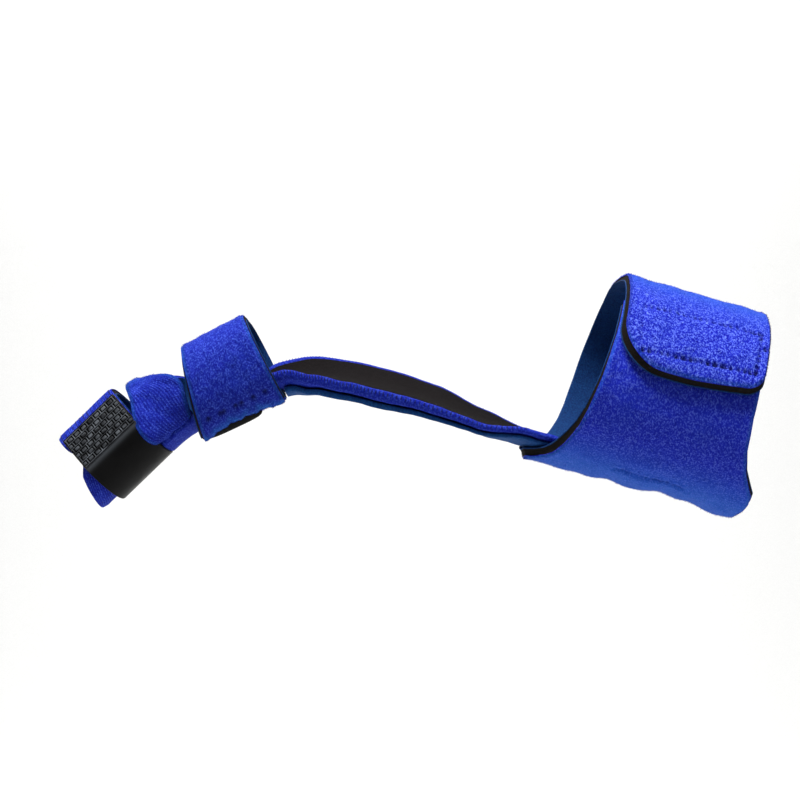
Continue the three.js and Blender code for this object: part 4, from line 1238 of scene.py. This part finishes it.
class SPLINT_OT_fingertip(bpy.types.Operator):
    """Builds the fingertip loop, its edge stitching and the moulded guard"""
    bl_idname = "splint.fingertip"
    bl_label = "Fingertip loop and guard"

    def execute(self, context):
        self.loop()
        self.guard()
        return {"FINISHED"}

    def loop(self):
        inner, outer = (tip_section(offset, 8, LOOP_LINES) for offset in (0, TIP_WALL))
        down = np.clip(0.5 - inner[:, 1] / TIP_HALF_HEIGHT / 2, 0, 1)
        length = TIP_LENGTH + TIP_LIP * down * down - 2.6 * bump(down - 0.42, 0.17) * (inner[:, 0] > 0)
        distance = length[:, None] * np.linspace(0, 1, LOOP_COLUMNS)[None, :]
        face, back = tip_grid(outer, distance), tip_grid(inner, distance)
        away = np.minimum(distance, length[:, None] - distance)
        swell = 0.05 * soft_noise(face, 5, 43) - 0.3 * near_edge(away, 1.2)
        face = face + direction(face - back) * swell[..., None]
        loop = laminate_piece("fingertip_loop", "knitted_loop_fabric", "tip_loop", (face, back), FOAM_RIM,
                              foam_core("knit"), ring=True)
        self.edge_stitches()

    def edge_stitches(self):
        """Overlock threads over the loop's upper near edge."""
        spots = tip_section(TIP_WALL - 0.05, 8, LOOP_LINES)[21:33]
        paths = [tip_point(spots, np.full(len(spots), d))
                 for d in np.arange(0.8, TIP_LENGTH - 0.5, LOOP_STITCH_PITCH)]
        thread_piece("loop_edge_stitches", [np.array(paths)], LOOP_THREAD_RADIUS, finish("overlock"),
                     "knitted_loop_fabric")

    def guard(self):
        """The plate with its grip and the smooth side, from the second corner's fillet to the last one."""
        arc_steps = 10
        offset = TIP_WALL + GAP
        inner, outer = (tip_section(offset + out, arc_steps, GUARD_LINES) for out in (0, GUARD_THICKNESS))
        marks = np.cumsum([0] + [arc_steps + line for line in GUARD_LINES])
        kept = slice(marks[1] + arc_steps, marks[4] + 1)
        inner, outer, plate = inner[kept], outer[kept], GUARD_LINES[1]
        distance = GUARD_SETBACK + np.linspace(0, GUARD_LENGTH, GUARD_STEPS)[None, :]
        distance = np.broadcast_to(distance, (len(outer), GUARD_STEPS))
        face, back = tip_grid(outer, distance), tip_grid(inner, distance)
        across = np.append(0, np.cumsum(np.linalg.norm(np.diff(outer, axis=0), axis=1)))[:, None]
        width = across[plate, 0]
        relief = grip_relief(across, distance - GUARD_SETBACK, width) * (across < width)
        out = direction(face - back)
        out[:plate] = out[plate // 2]
        face = face + out * relief[..., None]
        # Painted grey highlight on the grip's ribs and blocks, uneven from place to place, and along the
        # crease; painted shade in the recesses.
        uneven_highlight = np.clip(0.6 + 0.45 * soft_noise(face, 2.4, 51), 0.15, 1.1)
        crease = 0.35 * bump(across - width - 0.3, 0.9)
        rib_highlight = np.clip(relief / RIB_HEIGHT, 0, 1) ** 2 * 0.95 * uneven_highlight
        fields = {"faded": np.maximum(rib_highlight, crease), "sunk": np.clip(-relief / 0.3, 0, 0.8)}
        laminate_piece("grip_guard", "moulded_plastic", "tip_guard", (face, back), ROUND_RIM_THIN,
                       ("abs",) * 3, fields)


def grip_relief(across, along, width):
    """Height of the guard's grip: ribs in brick bond with a small raised block in each cell."""
    pitch = (width - 2 * GUARD_RIM) / GUARD_ROWS
    length = (GUARD_LENGTH - 2 * GUARD_RIM) / GUARD_COLUMNS
    place = (across - GUARD_RIM) / pitch
    row = np.clip(np.floor(place), 0, GUARD_ROWS - 1)
    on_grip = (place > 0) * (place < GUARD_ROWS)
    inside = eased(place, -0.3, -0.1) * (1 - eased(place, GUARD_ROWS + 0.1, GUARD_ROWS + 0.3))
    shifted = (along - GUARD_RIM) / length - 0.5 * (row % 2)
    in_length = eased(along, 0.1, 0.4) * (1 - eased(along, GUARD_LENGTH - 0.4, GUARD_LENGTH - 0.1))

    def wall(distance):
        return 1 - eased(distance, RIB_WIDTH / 2 - 0.15, RIB_WIDTH / 2 + 0.1)
    ribs = np.maximum(wall(np.abs(place - np.round(place)) * pitch),
                      wall(np.abs(shifted - np.round(shifted)) * length) * on_grip)
    in_row = np.abs(place - row - 0.5) * pitch
    in_column = np.abs(shifted - np.floor(shifted) - 0.5) * length
    block = (1 - eased(in_row, *BLOCK_SIDE)) * (1 - eased(in_column, *BLOCK_END)) * on_grip
    bead = 0.3 * bump(across - width + 0.15, 0.32) * (0.75 + 0.25 * np.cos(2 * math.pi * along / length))
    raised = np.maximum(ribs * (RIB_HEIGHT + CELL_DEPTH), block * (RIB_HEIGHT * 0.8 + CELL_DEPTH))
    return inside * in_length * (raised - CELL_DEPTH) + bead * (1 - inside)


# Studio.

CAMERA_PLACE, LENS_MM, SENSOR_MM = (-0.075, -0.5, -0.0015), 75.0, 36.0
# Area lights: name, place, what each is aimed at, diameter in metres and power in watts.
SUBJECT, WALL = (-0.06, 0, 0), (-0.1, 2.6, 0.25)
LIGHTS = [("key", (-0.22, -0.27, 0.9), SUBJECT, 0.45, 15.0), ("fill", (0.5, -0.8, 0.3), SUBJECT, 0.7, 0.8),
          ("background", (-0.1, 0.9, 1.6), WALL, 1.6, 46.0)]
# Strength of the white world as light, and as the camera sees it.
WORLD_LIGHT, WORLD_SEEN = 0.125, 0.95
# Floor and wall in metres: near edge, start of the bend, its radius, the wall's top, the floor's level and
# half the width.
FLOOR_NEAR, FLOOR_FAR, BEND, WALL_TOP, FLOOR_LEVEL, HALF_WIDTH = -1.5, 1.8, 0.8, 3.0, -0.5, 3.5


class SPLINT_OT_studio(bpy.types.Operator):
    """Builds the camera, the pale floor with its sweep, and the soft lights"""
    bl_idname = "splint.studio"
    bl_label = "Studio"

    def execute(self, context):
        scene = context.scene
        lens = bpy.data.cameras.new("camera")
        lens.sensor_width, lens.lens, lens.clip_start = SENSOR_MM, LENS_MM, 0.01
        camera = bpy.data.objects.new("camera", lens)
        camera.location = CAMERA_PLACE
        camera.rotation_euler = (math.radians(90), 0, 0)
        scene.collection.objects.link(camera)
        scene.camera = camera
        self.sweep()
        for light in LIGHTS:
            self.light(*light)
        world = bpy.data.worlds.new("studio")
        world.use_nodes = True
        tree = world.node_tree
        background = tree.nodes["Background"]
        background.inputs["Color"].default_value = (1, 1, 1, 1)
        seen = add_node(tree, "ShaderNodeLightPath").outputs["Is Camera Ray"]
        tree.links.new(mapped(tree, seen, 0.0, 1.0, WORLD_LIGHT, WORLD_SEEN), background.inputs["Strength"])
        scene.world = world
        scene.view_settings.view_transform = "Standard"
        return {"FINISHED"}

    def sweep(self):
        """Floor that curves up into a wall behind, so no horizon shows."""
        path = [(FLOOR_NEAR, 0.0), (FLOOR_FAR, 0.0)]
        path += [(FLOOR_FAR + BEND * math.sin(a), BEND - BEND * math.cos(a))
                 for a in np.linspace(0.1, math.pi / 2, 14)]
        path += [(FLOOR_FAR + BEND, WALL_TOP)]
        points = [(x / MM, y / MM, (z + FLOOR_LEVEL) / MM)
                  for x in (-HALF_WIDTH, HALF_WIDTH) for y, z in path]
        count = len(path)
        quads = [(i, i + 1, i + 1 + count, i + count) for i in range(count - 1)]
        make_mesh("floor", points, quads, np.zeros(len(quads)), [finish("paper")])

    def light(self, name, place, target, size, energy):
        lamp = bpy.data.lights.new(name, "AREA")
        lamp.shape, lamp.size, lamp.energy = "DISK", size, energy * settings().looks.light
        thing = bpy.data.objects.new(name, lamp)
        thing.location = place
        thing.visible_camera = False
        aim = Vector(target) - Vector(place)
        thing.rotation_euler = aim.to_track_quat("-Z", "Y").to_euler()
        bpy.context.scene.collection.objects.link(thing)


def length(name, description, default, low):
    return FloatProperty(name=name, description=description, default=default, min=low, unit="LENGTH")


class SplintSizes(bpy.types.PropertyGroup):
    """Sizes of the sewing"""
    stitch_pitch: length("Stitch pitch", "Distance between the stitches of the tab's box", 0.003, 0.001)
    thread_radius: length("Thread radius", "Radius of the sewing thread", 0.00022, 0.00005)
    overlock_pitch: length(
        "Overlock pitch", "Distance between the threads that wrap the palm strap's edges", 0.001, 0.0004)


class SplintLooks(bpy.types.PropertyGroup):
    """Looks of the fabric and the light"""
    loop_size: length("Loop size", "Size of the pile's loops", 0.00043, 0.0002)
    light: FloatProperty(
        name="Light", description="Strength of the studio lights", default=1.0, min=0.0, subtype="FACTOR")


def dye(name, code):
    return FloatVectorProperty(name=name, description=f"{name} of the nylon", subtype="COLOR", size=3,
                               min=0, max=1, default=linear(code)[:3])


class SplintColours(bpy.types.PropertyGroup):
    """Colours of the cuff's fabric, of the same fabric darkened as painted shade for the straps, and of the
    knit: painted shade between the fibres, the pile, and painted highlight at the fibres' tips
    """
    pile_shade: dye("Cuff shade", "#1012a0")
    pile: dye("Cuff colour", "#192abe")
    pile_tip: dye("Cuff fibre tips", "#7088ff")
    # The cuff's fabric darkened as painted shade, for the straps.
    strap_shade: dye("Strap shade", "#0c1084")
    strap: dye("Strap colour", "#1424a0")
    strap_tip: dye("Strap fibre tips", "#506ce6")
    knit_shade: dye("Knit shade", "#0c1280")
    knit: dye("Knit colour", "#1829b0")
    knit_tip: dye("Knit fibre tips", "#4e68e4")


class SplintSettings(bpy.types.PropertyGroup):
    """Settings of the splint"""
    sizes: PointerProperty(type=SplintSizes, name="Sizes", description="Sizes of the sewing")
    looks: PointerProperty(type=SplintLooks, name="Looks", description="Looks of the fabric and the light")
    colours: PointerProperty(type=SplintColours, name="Colours", description="Colours of the fabrics")


class SPLINT_PT_panel(bpy.types.Panel):
    """Lists the settings and the pieces"""
    bl_idname = "SPLINT_PT_panel"
    bl_label = "Finger splint"
    bl_space_type = "VIEW_3D"
    bl_region_type = "UI"
    bl_category = "Splint"

    def draw(self, context):
        for group in (settings().sizes, settings().looks, settings().colours):
            for name in group.bl_rna.properties.keys():
                if name not in ("rna_type", "name"):
                    self.layout.prop(group, name)
        for operator in BUILD_ORDER:
            self.layout.operator(operator.bl_idname)


BUILD_ORDER = (SPLINT_OT_studio, SPLINT_OT_wrist_cuff, SPLINT_OT_palm_strap, SPLINT_OT_finger_straps,
               SPLINT_OT_fingertip)
CLASSES = (SplintSizes, SplintLooks, SplintColours, SplintSettings, *BUILD_ORDER, SPLINT_PT_panel)


def register():
    for kind in CLASSES:
        bpy.utils.register_class(kind)
    bpy.types.Scene.splint = PointerProperty(type=SplintSettings)


def unregister():
    del bpy.types.Scene.splint
    for kind in reversed(CLASSES):
        bpy.utils.unregister_class(kind)


def main():
    register()
    bpy.ops.splint.studio()
    bpy.ops.splint.wrist_cuff()
    bpy.ops.splint.palm_strap()
    bpy.ops.splint.finger_straps()
    bpy.ops.splint.fingertip()


if __name__ == "__main__":
    main()
